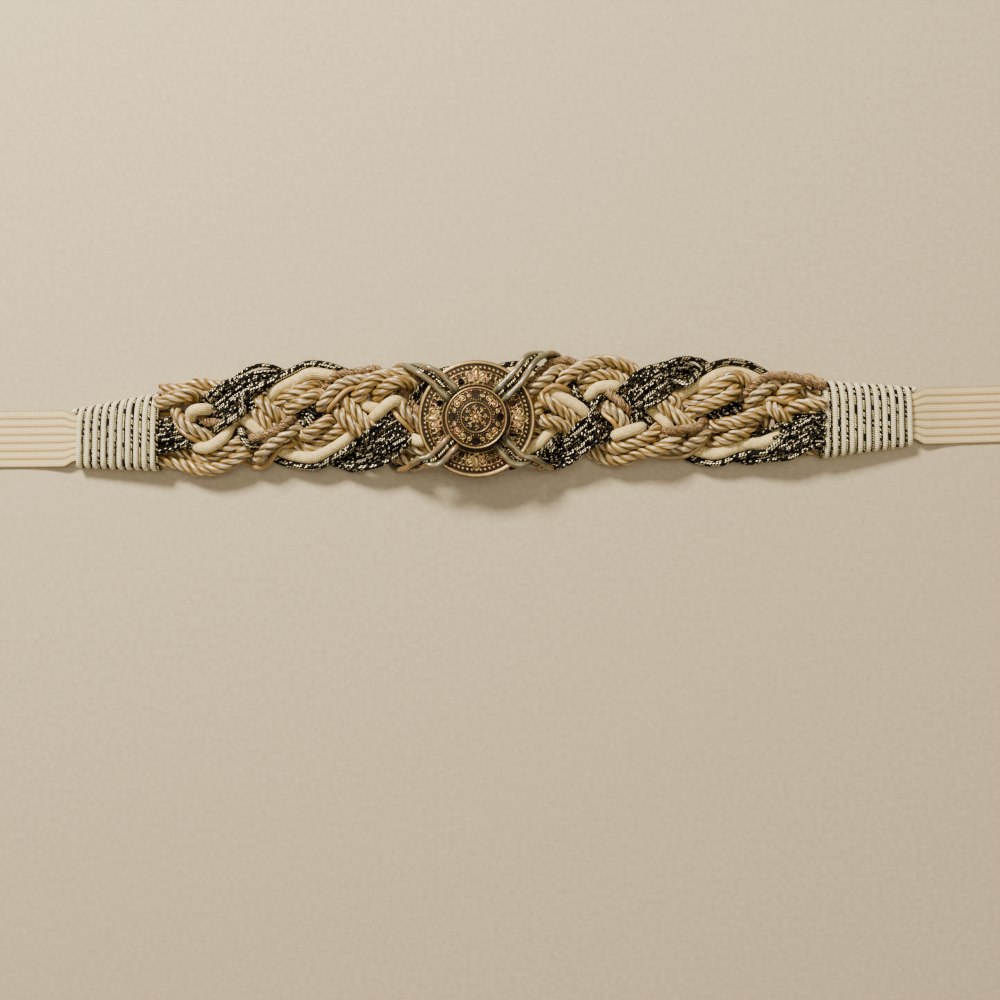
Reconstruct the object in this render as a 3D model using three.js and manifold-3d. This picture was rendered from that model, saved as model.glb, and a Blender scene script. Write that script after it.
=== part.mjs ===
// A rope belt laid flat: a four-group plait of decorative cords behind a pierced brass medallion,
// wound bindings at both ends of the plait, and ribbed elastic straps with a hook and an eye.
// Millimetres. X runs along the belt, Y across it, Z up from the surface that it lies on.
// The origin is under the middle of the medallion, on that surface.
import * as THREE from "three";
import { mergeVertices } from "three/addons/utils/BufferGeometryUtils.js";
import Module from "manifold-3d";

const wasm = await Module();
wasm.setup();

// Driving dimensions
const CLEAR = 0.3; // gap kept between pieces that touch
const PLAIT_LEFT = -138.5; // where the plait ends at the left binding
const PLAIT_RIGHT = 150; // where it ends at the right binding
const PLAIT_SWING = 17; // half travel of a cord group from side to side
const PLAIT_THICK = 14; // the cords are pressed down to this height
const PLAIT_STATIONS = 54; // sections along each cord
const SETTLE_ROUNDS = 400; // passes that lay the cords over and under each other

const SATIN = 5.8; // diameters of the cords in the plait
const TUBULAR = 5.2;
const LUREX = 3.4;
const COPPER = 3.6;
const CREAM_TWIST = 5.4;
const GOLD = 2.2;
const BUNDLE_WIDTH = 18; // the flat bundle of thin black and gold cords
const BUNDLE_THICK = 4.6;
const CORD_SIDES = 5; // sides of the solid of a cord
const PRESS_TOLERANCE = 0.09; // how closely a cord follows the neighbours that press into it

const STRAP_WIDTH = 25.4;
const STRAP_THICK = 1.2;
const STRAP_RIBS = 7;
const RIB_RISE = 0.25;
const STRAP_TIP = 352; // where the right strap ends; the left one leaves room for the hook
const STRAP_CLIMB = 22; // length over which a strap climbs from the surface to its binding
const STRAP_TUCK = 26; // length of strap held inside its binding

const WIND_CREAM = 2.3; // diameters of the two binding cords
const WIND_LUREX = 1.4;
const WIND_SIDES = 8; // corners of one turn
const WIND_CREAM_SIDES = 4; // corners of the section of each winding cord
const WIND_LUREX_SIDES = 3;
const LEFT_TURNS = 10;
const RIGHT_TURNS = 11;
const NARROW = { width: 26.6, height: 7 }; // a binding's outside at the strap
const WIDE = { width: 34.8, height: 12 }; // and at the plait

const DISC_RADIUS = 25.5;
const DISC_THICK = 1.2;
const DISC_DISH = 1.8; // how far the rim of the disc curves down
const RIM_RISE = 0.5; // roll of the disc's rim
const DISC_HOLES = 8;
const DISC_HOLE_RADIUS = 1.7;
const DISC_LEAVES = 12;
const BOSS_RADIUS = 13.2;
const BOSS_THICK = 1.4;
const BOSS_CROWN = 1.6; // how far the middle of the boss stands over its rim
const BOSS_PETALS = 8;
const BOSS_HOLES = 4;
const BOSS_HOLE_RADIUS = 1.5;
const ROUND_SIDES = 24; // sides of the disc and the boss
const LASH_SATIN = 2.6; // diameters of the lashing cords
const LASH_LUREX = 1.9;
const LASH_GAP = 0.45; // between the lashing cords, which bend side by side
const LASH_BAND = LASH_SATIN * 2 + LASH_LUREX + 2 * LASH_GAP;
const LASH_FOOT = 11; // how far along and across from the middle of the medallion they come up
const LASH_STATIONS = 20;
const LASH_AWAY = 36; // where the lashing passes under the plait, either side of the medallion

const HEM_LENGTH = 7;
const HEM_SIDE = 0.3; // how far the hem stands out at the strap's edges and under it
const HEM_THICK = 4.6;
const WIRE = 2.2; // diameter of the wire of the hook and the eye
const LOOP_LENGTH = 14; // from the bar in the hem to the far bar
const HOOK_REACH = 9;

const palette = {
  satin: ["#c9ad77", 0.35, 0.1],
  tubular: ["#d9c08a", 0.7, 0],
  lurex: ["#2b2418", 0.5, 0.4],
  copper: ["#a9805c", 0.4, 0.5],
  cream: ["#d8cbaa", 0.75, 0],
  gold: ["#b48a4a", 0.35, 0.7],
  lash: ["#b9ad98", 0.3, 0.4],
  elastic: ["#cbb896", 0.85, 0],
  brass: ["#5e4a2c", 0.42, 0.9],
  steel: ["#8a857b", 0.35, 0.9],
};
const finishes = Object.fromEntries(
  Object.entries(palette).map(([key, [color, roughness, metalness]]) => [
    key,
    new THREE.MeshStandardMaterial({ color, roughness, metalness }),
  ]),
);

const belt = new THREE.Group();

// Adds one sub-part with its own copy of the finish.
function place(name, geometry, finish) {
  const mesh = new THREE.Mesh(geometry, finishes[finish].clone());
  mesh.name = name;
  belt.add(mesh);
  return mesh;
}

// A solid skinned over rings of equal point counts, which run round the path in the same sense.
function skin(rings, closed = false) {
  const sides = rings[0].length;
  const points = rings.flat();
  const faces = [];
  const spans = closed ? rings.length : rings.length - 1;
  for (let i = 0; i < spans; i++) {
    for (let k = 0; k < sides; k++) {
      const a = i * sides + k;
      const b = i * sides + ((k + 1) % sides);
      const next = ((i + 1) % rings.length) * sides;
      const c = next + ((k + 1) % sides);
      const d = next + k;
      faces.push(a, b, c, a, c, d);
    }
  }
  if (!closed) {
    const last = (rings.length - 1) * sides;
    for (let k = 1; k < sides - 1; k++) {
      faces.push(0, k + 1, k);
      faces.push(last, last + k, last + k + 1);
    }
  }
  const geometry = new THREE.BufferGeometry();
  const flat = points.flatMap((p) => [p.x, p.y, p.z]);
  geometry.setAttribute("position", new THREE.Float32BufferAttribute(flat, 3));
  geometry.setIndex(faces);
  return outward(geometry);
}

// Turns the faces round where the solid came out inside out.
function outward(geometry) {
  const solid = solidOf(geometry);
  if (solid.volume() < 0) {
    const index = geometry.index.array;
    for (let i = 0; i < index.length; i += 3) {
      [index[i + 1], index[i + 2]] = [index[i + 2], index[i + 1]];
    }
  }
  geometry.computeVertexNormals();
  return geometry;
}

function solidOf(geometry) {
  const bare = geometry.clone();
  bare.deleteAttribute("normal");
  bare.deleteAttribute("uv");
  const merged = mergeVertices(bare, 1e-4);
  return new wasm.Manifold(
    new wasm.Mesh({
      numProp: 3,
      vertProperties: new Float32Array(merged.attributes.position.array),
      triVerts: new Uint32Array(merged.index.array),
    }),
  );
}

function geometryOf(solid) {
  const mesh = solid.getMesh();
  const geometry = new THREE.BufferGeometry();
  geometry.setAttribute("position", new THREE.BufferAttribute(mesh.vertProperties, 3));
  geometry.setIndex(new THREE.BufferAttribute(mesh.triVerts, 1));
  geometry.computeVertexNormals();
  return geometry;
}

// An oval ring of points square to a direction, with its width lying level.
function ringAt(centre, along, sides, halfWidth, halfHeight = halfWidth) {
  const level = new THREE.Vector3(-along.y, along.x, 0).normalize();
  const rise = new THREE.Vector3().crossVectors(along, level).normalize();
  return Array.from({ length: sides }, (_, k) => {
    const turn = ((k + 0.5) / sides) * 2 * Math.PI;
    return centre
      .clone()
      .addScaledVector(level, halfWidth * Math.cos(turn))
      .addScaledVector(rise, halfHeight * Math.sin(turn));
  });
}

function directionAt(points, i, closed = false) {
  const n = points.length;
  const before = closed ? points[(i + n - 1) % n] : points[Math.max(i - 1, 0)];
  const after = closed ? points[(i + 1) % n] : points[Math.min(i + 1, n - 1)];
  return after.clone().sub(before).normalize();
}

function tube(points, radius, sides) {
  return skin(points.map((p, i) => ringAt(p, directionAt(points, i), sides, radius)));
}

// The four groups of the plait. Each row of a route is one turn of the group's middle line:
// along, as a share of the plait's length from its left end, and side, as a share of its swing.
// Rows outside 0 to 1 lie inside the bindings. head and tail are the group's heights over the
// middle of the plait at its two ends.
const groups = {
  tan: {
    partner: "straw",
    route: [
      { along: 0, side: 0.2 },
      { along: 0.091, side: 0.45 },
      { along: 0.218, side: -0.62 },
      { along: 0.363, side: 0.64 },
      { along: 0.534, side: -0.6 },
      { along: 0.675, side: 1.02 },
      { along: 0.843, side: -0.53 },
      { along: 1, side: 0.41 },
    ],
    cords: ["satin", "satin", "tubular", "lurex"],
    head: -4,
    tail: 0,
  },
  straw: {
    partner: "tan",
    route: [
      { along: 0, side: -0.5 },
      { along: 0.06, side: -0.76 },
      { along: 0.233, side: 0.86 },
      { along: 0.39, side: -0.55 },
      { along: 0.546, side: 0.9 },
      { along: 0.695, side: -0.48 },
      { along: 0.878, side: 1.02 },
      { along: 1, side: -0.26 },
    ],
    cords: ["lurex", "tubular", "satin", "satin"],
    head: -3,
    tail: -3,
  },
  copper: {
    partner: "black",
    route: [
      { along: -0.02, side: 0.42 },
      { along: 0.13, side: -0.65 },
      { along: 0.313, side: 0.94 },
      { along: 0.447, side: -0.7 },
      { along: 0.619, side: 1.03 },
      { along: 0.756, side: -0.58 },
      { along: 0.95, side: 0.75 },
      { along: 1, side: 0.55 },
    ],
    cords: ["copper", "creamTwist", "gold"],
    head: 0,
    tail: 1,
  },
  black: {
    partner: "copper",
    route: [
      { along: -0.03, side: -0.5 },
      { along: 0.175, side: 0.9 },
      { along: 0.287, side: -0.8 },
      { along: 0.47, side: 0.9 },
      { along: 0.577, side: -0.72 },
      { along: 0.811, side: 1.16 },
      { along: 0.907, side: -0.7 },
      { along: 1, side: -0.21 },
    ],
    cords: ["bundle", "bundle", "bundle"],
    head: 0,
    tail: 3.5,
  },
};

const cordSizes = {
  satin: SATIN,
  tubular: TUBULAR,
  lurex: LUREX,
  copper: COPPER,
  creamTwist: CREAM_TWIST,
  gold: GOLD,
  bundle: BUNDLE_WIDTH / 3,
};
const cordNames = {
  satin: "satin_cord",
  tubular: "tubular_cord",
  lurex: "lurex_cord",
  copper: "copper_twist",
  creamTwist: "cream_twist",
  gold: "gold_cord",
};
const finishOf = {
  satin: "satin",
  tubular: "tubular",
  lurex: "lurex",
  copper: "copper",
  creamTwist: "cream",
  gold: "gold",
};

const plaitLength = PLAIT_RIGHT - PLAIT_LEFT;

// Side offset of a group's middle line where it stands a given way along the plait.
function middleOf(group, x) {
  const rows = group.route.map((row) => ({
    x: PLAIT_LEFT + row.along * plaitLength,
    y: row.side * PLAIT_SWING,
  }));
  if (x <= rows[0].x) return rows[0].y;
  for (let i = 1; i < rows.length; i++) {
    if (x <= rows[i].x) {
      const share = (x - rows[i - 1].x) / (rows[i].x - rows[i - 1].x);
      const ramp = (1 - Math.cos(Math.PI * share)) / 2;
      return rows[i - 1].y + (rows[i].y - rows[i - 1].y) * ramp;
    }
  }
  return rows[rows.length - 1].y;
}

// Slope of the middle line, taken over a stretch so that a flat group turns without a kink.
function leanOf(group, x, stretch) {
  return (middleOf(group, x + stretch) - middleOf(group, x - stretch)) / (2 * stretch);
}

const TURN_STRETCH = 8;
const SQUEEZE = 0.9; // share of a cord's thickness that is left where the plait presses it
const PRESS_GAP = 0.2; // gap left where one cord presses into another
const BUNDLE_LEVEL = 0.4; // share of its sideways tilt that the flat bundle keeps
const TIGHT = 0.88; // how closely cords lie side by side, as a share of their diameters
const PACKED = 0.92; // share of its thickness that a cord keeps from the ones that it crosses
const OVERSHOOT = 1.3; // how much further than needed two cords are pushed apart in one pass
const STRAIGHTEN = 0.15; // how firmly a cord's height is drawn to that of its neighbouring points
const RISE_HOLD = 0.03; // and to the height at which it was laid out
const BUNDLE_HOLD = 0.2; // how firmly the bundle and a round cord are drawn to their traced routes
const CORD_HOLD = 0.05;
const LAYER = 3; // how far a group rises over and dips under the middle of the plait
const MIDDLE = 6.2; // height of the middle of the plait over the surface

// Height of a group where it runs over and under the others: three crossings to each whole ramp.
function heightOf({ route, head, tail }, x) {
  const share = (x - PLAIT_LEFT) / plaitLength;
  const first = route[0].along < 0 ? 0 : 1;
  const last = route.length - 3;
  if (share < route[first].along) return head;
  for (let k = first; k <= last; k++) {
    const before = route[k];
    const after = route[k + 1];
    if (share > after.along) continue;
    const s = (share - before.along) / (after.along - before.along);
    const crest = after.side > before.side ? LAYER : -LAYER;
    const enter = k === first ? head : 0;
    const leave = k === last ? tail : 0;
    if (s < 0.25) return enter + (crest - enter) * Math.sin(2 * Math.PI * s);
    if (s > 0.75) return leave - (crest - leave) * Math.sin(2 * Math.PI * s);
    return crest * Math.cos(4 * Math.PI * (s - 0.25));
  }
  return tail;
}

// One cord per entry: its laid-out points and half of the thickness that it keeps clear.
function layCords() {
  const laid = [];
  for (const [groupName, group] of Object.entries(groups)) {
    const widths = group.cords.map((kind) => cordSizes[kind] * TIGHT);
    const total = widths.reduce((sum, w) => sum + w, 0);
    let edge = total / 2;
    group.cords.forEach((kind, rank) => {
      const offset = edge - widths[rank] / 2;
      edge -= widths[rank];
      const points = [];
      for (let i = 0; i < PLAIT_STATIONS; i++) {
        const x = PLAIT_LEFT + (plaitLength * i) / (PLAIT_STATIONS - 1);
        const lean = Math.atan(leanOf(group, x, TURN_STRETCH));
        const shift = i === 0 || i === PLAIT_STATIONS - 1 ? 0 : offset * Math.sin(lean);
        points.push(
          new THREE.Vector3(
            x - shift,
            middleOf(group, x) + offset * Math.cos(lean),
            MIDDLE + heightOf(group, x),
          ),
        );
      }
      const thick = kind === "bundle" ? BUNDLE_THICK : cordSizes[kind];
      laid.push({ groupName, group, kind, offset, points, half: (PACKED * thick) / 2 });
    });
  }
  return laid;
}

// Nearest points of two segments, as shares of their lengths.
function nearest(a, b, c, d) {
  const u = b.clone().sub(a);
  const v = d.clone().sub(c);
  const w = a.clone().sub(c);
  const uu = u.dot(u);
  const uv = u.dot(v);
  const vv = v.dot(v);
  const uw = u.dot(w);
  const vw = v.dot(w);
  const spread = uu * vv - uv * uv;
  const clamp = (q) => Math.min(1, Math.max(0, q));
  let s = spread > 1e-6 ? clamp((uv * vw - vv * uw) / spread) : 0.5;
  const t = clamp((uv * s + vw) / vv);
  s = clamp((uv * t - uw) / uu);
  return { s, t };
}

const CORNER = 8; // cords whose offsets add up to more meet only at the corners of their groups
const BUNDLE_CORNER = 14; // the same where one of the two is of the bundle
const NEIGHBOURS = 5; // how many stations apart two cords can still touch

// Every place where one cord's traced route crosses another's, and which of the two runs over.
// The cord that climbs across the other runs over it, but under where their groups are partners.
function crossingsOf(laid) {
  const crossings = [];
  const u = new THREE.Vector2();
  const v = new THREE.Vector2();
  const w = new THREE.Vector2();
  for (let m = 0; m < laid.length; m++) {
    for (let n = m + 1; n < laid.length; n++) {
      const a = laid[m];
      const b = laid[n];
      const corner = a.kind === "bundle" || b.kind === "bundle" ? BUNDLE_CORNER : CORNER;
      if (a.group === b.group || Math.abs(a.offset) + Math.abs(b.offset) > corner) continue;
      for (let i = 0; i < PLAIT_STATIONS - 1; i++) {
        const first = Math.max(0, i - NEIGHBOURS);
        const last = Math.min(PLAIT_STATIONS - 2, i + NEIGHBOURS);
        for (let j = first; j <= last; j++) {
          u.subVectors(a.points[i + 1], a.points[i]);
          v.subVectors(b.points[j + 1], b.points[j]);
          w.subVectors(b.points[j], a.points[i]);
          const cross = u.cross(v);
          const s = w.cross(v) / cross;
          const t = w.cross(u) / cross;
          if (!(s >= 0 && s < 1 && t >= 0 && t < 1)) continue;
          const climbs = cross < 0 ? 1 : -1;
          const order = a.group.partner === b.groupName ? -climbs : climbs;
          crossings.push({ a, b, i, j, s, t, order });
        }
      }
    }
  }
  return crossings;
}

// All other pairs of stretches that can touch. The bundle's three strands may close up.
function pairsOf(laid, crossings) {
  const key = (m, n, i, j) => [m, n, i, j].join();
  const crossed = new Set(
    crossings.map(({ a, b, i, j }) => key(laid.indexOf(a), laid.indexOf(b), i, j)),
  );
  const pairs = [];
  for (let m = 0; m < laid.length; m++) {
    for (let n = m + 1; n < laid.length; n++) {
      const a = laid[m];
      const b = laid[n];
      if (a.kind === "bundle" && b.kind === "bundle") continue;
      for (let i = 0; i < PLAIT_STATIONS - 1; i++) {
        const first = Math.max(0, i - NEIGHBOURS);
        const last = Math.min(PLAIT_STATIONS - 2, i + NEIGHBOURS);
        for (let j = first; j <= last; j++) {
          if (!crossed.has(key(m, n, i, j))) pairs.push({ a, b, i, j });
        }
      }
    }
  }
  return pairs;
}

// Moves two cords apart where they meet, each by half of what is missing.
function part(a, i, s, b, j, t, apart) {
  a.push[i].addScaledVector(apart, 1 - s);
  a.push[i + 1].addScaledVector(apart, s);
  a.met[i] += 1 - s;
  a.met[i + 1] += s;
  b.push[j].addScaledVector(apart, t - 1);
  b.push[j + 1].addScaledVector(apart, -t);
  b.met[j] += 1 - t;
  b.met[j + 1] += t;
}

// Height of what the plait lies on: the surface, or the lashing where that passes beneath.
function bedAt(x) {
  const off = Math.abs(Math.abs(x) - LASH_AWAY);
  const share = Math.min(1, Math.max(0, (LASH_BAND / 2 + 8 - off) / 8));
  return share * (LASH_SATIN + CLEAR);
}

// Lays the cords down so that they touch and don't run through each other: in each round every cord
// is drawn to its traced route, eased straight, and pushed off the cords that it meets.
function settle(laid) {
  const crossings = crossingsOf(laid);
  const pairs = pairsOf(laid, crossings);
  for (const cord of laid) {
    cord.traced = cord.points.map((p) => p.clone());
    cord.push = cord.points.map(() => new THREE.Vector3());
    cord.met = cord.points.map(() => 0);
  }
  const apart = new THREE.Vector3();
  const onA = new THREE.Vector3();
  const onB = new THREE.Vector3();
  for (let round = 0; round < SETTLE_ROUNDS; round++) {
    const ease = 1 - round / SETTLE_ROUNDS;
    for (const { a, b, i, j, s, t, order } of crossings) {
      const zA = a.points[i].z * (1 - s) + a.points[i + 1].z * s;
      const zB = b.points[j].z * (1 - t) + b.points[j + 1].z * t;
      const short = a.half + b.half + CLEAR - order * (zA - zB);
      if (short <= 0) continue;
      part(a, i, s, b, j, t, apart.set(0, 0, (order * short) / 2));
    }
    for (const { a, b, i, j } of pairs) {
      const { s, t } = nearest(a.points[i], a.points[i + 1], b.points[j], b.points[j + 1]);
      onA.lerpVectors(a.points[i], a.points[i + 1], s);
      onB.lerpVectors(b.points[j], b.points[j + 1], t);
      apart.subVectors(onA, onB);
      const short = a.half + b.half + CLEAR - apart.length();
      if (short <= 0) continue;
      part(a, i, s, b, j, t, apart.normalize().multiplyScalar(short / 2));
    }
    for (const cord of laid) {
      const kept = cord.points.map((p) => p.clone());
      const hold = ease * (cord.kind === "bundle" ? BUNDLE_HOLD : CORD_HOLD);
      cord.points.forEach((p, i) => {
        p.addScaledVector(cord.push[i], OVERSHOOT / Math.max(1, cord.met[i]));
        const before = kept[Math.max(i - 1, 0)];
        const after = kept[Math.min(i + 1, kept.length - 1)];
        p.z += ease * STRAIGHTEN * ((before.z + after.z) / 2 - kept[i].z);
        p.z += ease * RISE_HOLD * (cord.traced[i].z - p.z);
        p.x += hold * (cord.traced[i].x - p.x);
        p.y += hold * (cord.traced[i].y - p.y);
        p.z = Math.min(p.z, PLAIT_THICK + bedAt(p.x) - cord.half);
        p.z = Math.max(p.z, cord.half + bedAt(p.x));
        if (i === 0 || i === PLAIT_STATIONS - 1) p.x = cord.traced[i].x;
        cord.push[i].set(0, 0, 0);
        cord.met[i] = 0;
      });
    }
  }
}

const cords = layCords();
settle(cords);

// The smallest and largest reach across the belt of the cords near a place along it.
function edgesAt(x, reach) {
  const near = cords.flatMap(({ points, half }) =>
    points.filter((p) => Math.abs(p.x - x) < reach).map(({ y }) => ({ low: y - half, high: y + half })),
  );
  return {
    low: Math.min(...near.map(({ low }) => low)),
    high: Math.max(...near.map(({ high }) => high)),
  };
}

// The medallion's disc rests on the highest cord under it; it dips towards its rim.
const dishAt = (r) => DISC_DISH * (r / DISC_RADIUS) ** 2;
const seat =
  CLEAR +
  Math.max(
    ...cords.flatMap((c) =>
      c.points.map((p) => {
        const r = Math.hypot(p.x, p.y);
        return r < DISC_RADIUS ? p.z + c.half + dishAt(r) : 0;
      }),
    ),
  );
const discTop = seat + DISC_THICK;

// How a lashing turns round the plait's edge: its way along the belt as a share of LASH_AWAY and
// across it as a share of the plait's half width there. aslant is 1 where it still runs aslant.
const LASH_LEAN = 0.6;
const lashTurn = [
  { away: 0.65, across: 0.87, aslant: 1, at: "shoulder" },
  { away: 0.79, across: 0.98, aslant: 0, at: "edge" },
  { away: 0.89, across: 1, aslant: 0, at: "fall" },
  { away: 0.96, across: 0.95, aslant: 0, at: "tuck" },
  { away: 1, across: 0.82, aslant: 0, at: "floor" },
];

// One of the three lashing cords on one side of the medallion. It comes up through the disc beside
// the boss, crosses the rim, turns round the plait's edge and passes beneath the plait, and the same
// way back. Its upper and lower halves mirror each other but for the plait's two edges.
function lashPath(side, rank, radius) {
  const shift = rank * ((LASH_SATIN + LASH_LUREX) / 2 + LASH_GAP);
  const edges = edgesAt(side * LASH_AWAY, LASH_BAND);
  const onDisc = (r) => discTop - dishAt(r) + RIM_RISE + radius + CLEAR;
  const slant = shift * Math.SQRT1_2;
  const rim = DISC_RADIUS * Math.SQRT1_2;
  const heights = {
    shoulder: onDisc(DISC_RADIUS) - LASH_SATIN * 0.2,
    edge: seat * 0.66,
    fall: seat * 0.4,
    tuck: radius + LASH_SATIN * 0.45,
    floor: radius,
  };
  const half = (sign, edge) => {
    const out = Math.abs(edge) + radius + CLEAR;
    const spot = (x, y, z) => new THREE.Vector3(side * x, sign * y, z);
    const past = lashTurn.map(({ away, across, aslant, at }) =>
      spot(
        LASH_AWAY * away + shift * (1 - aslant) + slant * aslant,
        out * across - slant * aslant * LASH_LEAN,
        heights[at],
      ),
    );
    return [
      spot(LASH_FOOT + slant, LASH_FOOT - slant, onDisc(LASH_FOOT * Math.SQRT2)),
      spot(rim + slant, rim - slant, onDisc(DISC_RADIUS)),
      ...past,
    ];
  };
  const beneath = new THREE.Vector3(side * (LASH_AWAY + shift), 0, radius);
  return [...half(1, edges.high), beneath, ...half(-1, edges.low).reverse()];
}

const lashes = [];
for (const side of [-1, 1]) {
  for (const rank of [-1, 0, 1]) {
    const sideName = side < 0 ? "left" : "right";
    const rankName = ["inner_satin", "lurex", "outer_satin"][rank + 1];
    const radius = (rank === 0 ? LASH_LUREX : LASH_SATIN) / 2;
    const curve = new THREE.CatmullRomCurve3(lashPath(side, rank, radius), false, "centripetal");
    lashes.push({
      name: ["lashing", sideName, rankName].join("_"),
      path: curve.getPoints(LASH_STATIONS),
      radius,
      finish: rank === 0 ? "lurex" : "lash",
    });
  }
}

// The flat bundle: one skin over its three strands.
function bundleSkin(strands, grow) {
  const half = strands[0].half + grow;
  const rings = strands[1].points.map((middle, i) => {
    const across = strands[0].points[i].clone().sub(strands[2].points[i]);
    across.z *= BUNDLE_LEVEL;
    across.normalize();
    const edge = BUNDLE_WIDTH / 6 + grow;
    const [p, q, r] = strands.map((strand) => strand.points[i]);
    const up = new THREE.Vector3(0, 0, half);
    return [
      p.clone().addScaledVector(across, edge),
      p.clone().add(up),
      q.clone().add(up),
      r.clone().add(up),
      r.clone().addScaledVector(across, -edge),
      r.clone().sub(up),
      q.clone().sub(up),
      p.clone().sub(up),
    ];
  });
  return skin(rings);
}

// Cuts away what passes the plait's ends and where harder neighbours press in, and keeps the cord's
// one main body.
function pressed(solid, neighbours) {
  let left = solid.trimByPlane([1, 0, 0], PLAIT_LEFT).trimByPlane([-1, 0, 0], -PLAIT_RIGHT);
  for (const neighbour of neighbours) {
    if (left.intersect(neighbour).volume() > 0) left = left.subtract(neighbour);
  }
  const bodies = left.simplify(PRESS_TOLERANCE).decompose();
  return bodies.reduce((best, one) => (one.volume() > best.volume() ? one : best));
}

const grown = [];

// Places one cord after it is pressed by those placed before it, which it then presses in its turn.
function placePressed(name, shape, finish, swollen) {
  const solid = pressed(solidOf(shape), grown);
  place(name, geometryOf(solid), finish);
  grown.push(solidOf(swollen).add(solid));
}

for (const { name, path, radius, finish } of lashes) {
  placePressed(name, tube(path, radius, CORD_SIDES), finish, tube(path, radius + CLEAR, CORD_SIDES));
}
const counts = {};
const round = cords.filter((c) => c.kind !== "bundle").sort((m, n) => m.half - n.half);
for (const { groupName, kind, points, half } of round) {
  const base = [groupName, "group", cordNames[kind]].join("_");
  counts[base] = (counts[base] || 0) + 1;
  const name = kind === "satin" ? base + "_" + counts[base] : base;
  const radius = half * SQUEEZE;
  const swollen = tube(points, radius + PRESS_GAP, CORD_SIDES);
  placePressed(name, tube(points, radius, CORD_SIDES), finishOf[kind], swollen);
}

const strands = cords.filter((c) => c.kind === "bundle");
const thinned = (BUNDLE_THICK * (SQUEEZE - 1)) / 2;
const bundle = pressed(solidOf(bundleSkin(strands, thinned)), grown);
place("black_bundle", geometryOf(bundle), "lurex");

// The lay of the belt outside the plait: the middle line drifts across as it leaves the plait.
const lay = [
  { x: -STRAP_TIP - LOOP_LENGTH, y: -13 },
  { x: -214, y: -8 },
  { x: -180, y: -7.7 },
  { x: PLAIT_LEFT, y: -4.9 },
  { x: PLAIT_RIGHT, y: 0.4 },
  { x: 194, y: 2.1 },
  { x: 235, y: 3.4 },
  { x: STRAP_TIP + LOOP_LENGTH, y: 6 },
];

function layAt(x) {
  for (let i = 1; i < lay.length; i++) {
    if (x > lay[i].x && i < lay.length - 1) continue;
    const share = (x - lay[i - 1].x) / (lay[i].x - lay[i - 1].x);
    return lay[i - 1].y + (lay[i].y - lay[i - 1].y) * share;
  }
  return 0;
}

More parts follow.
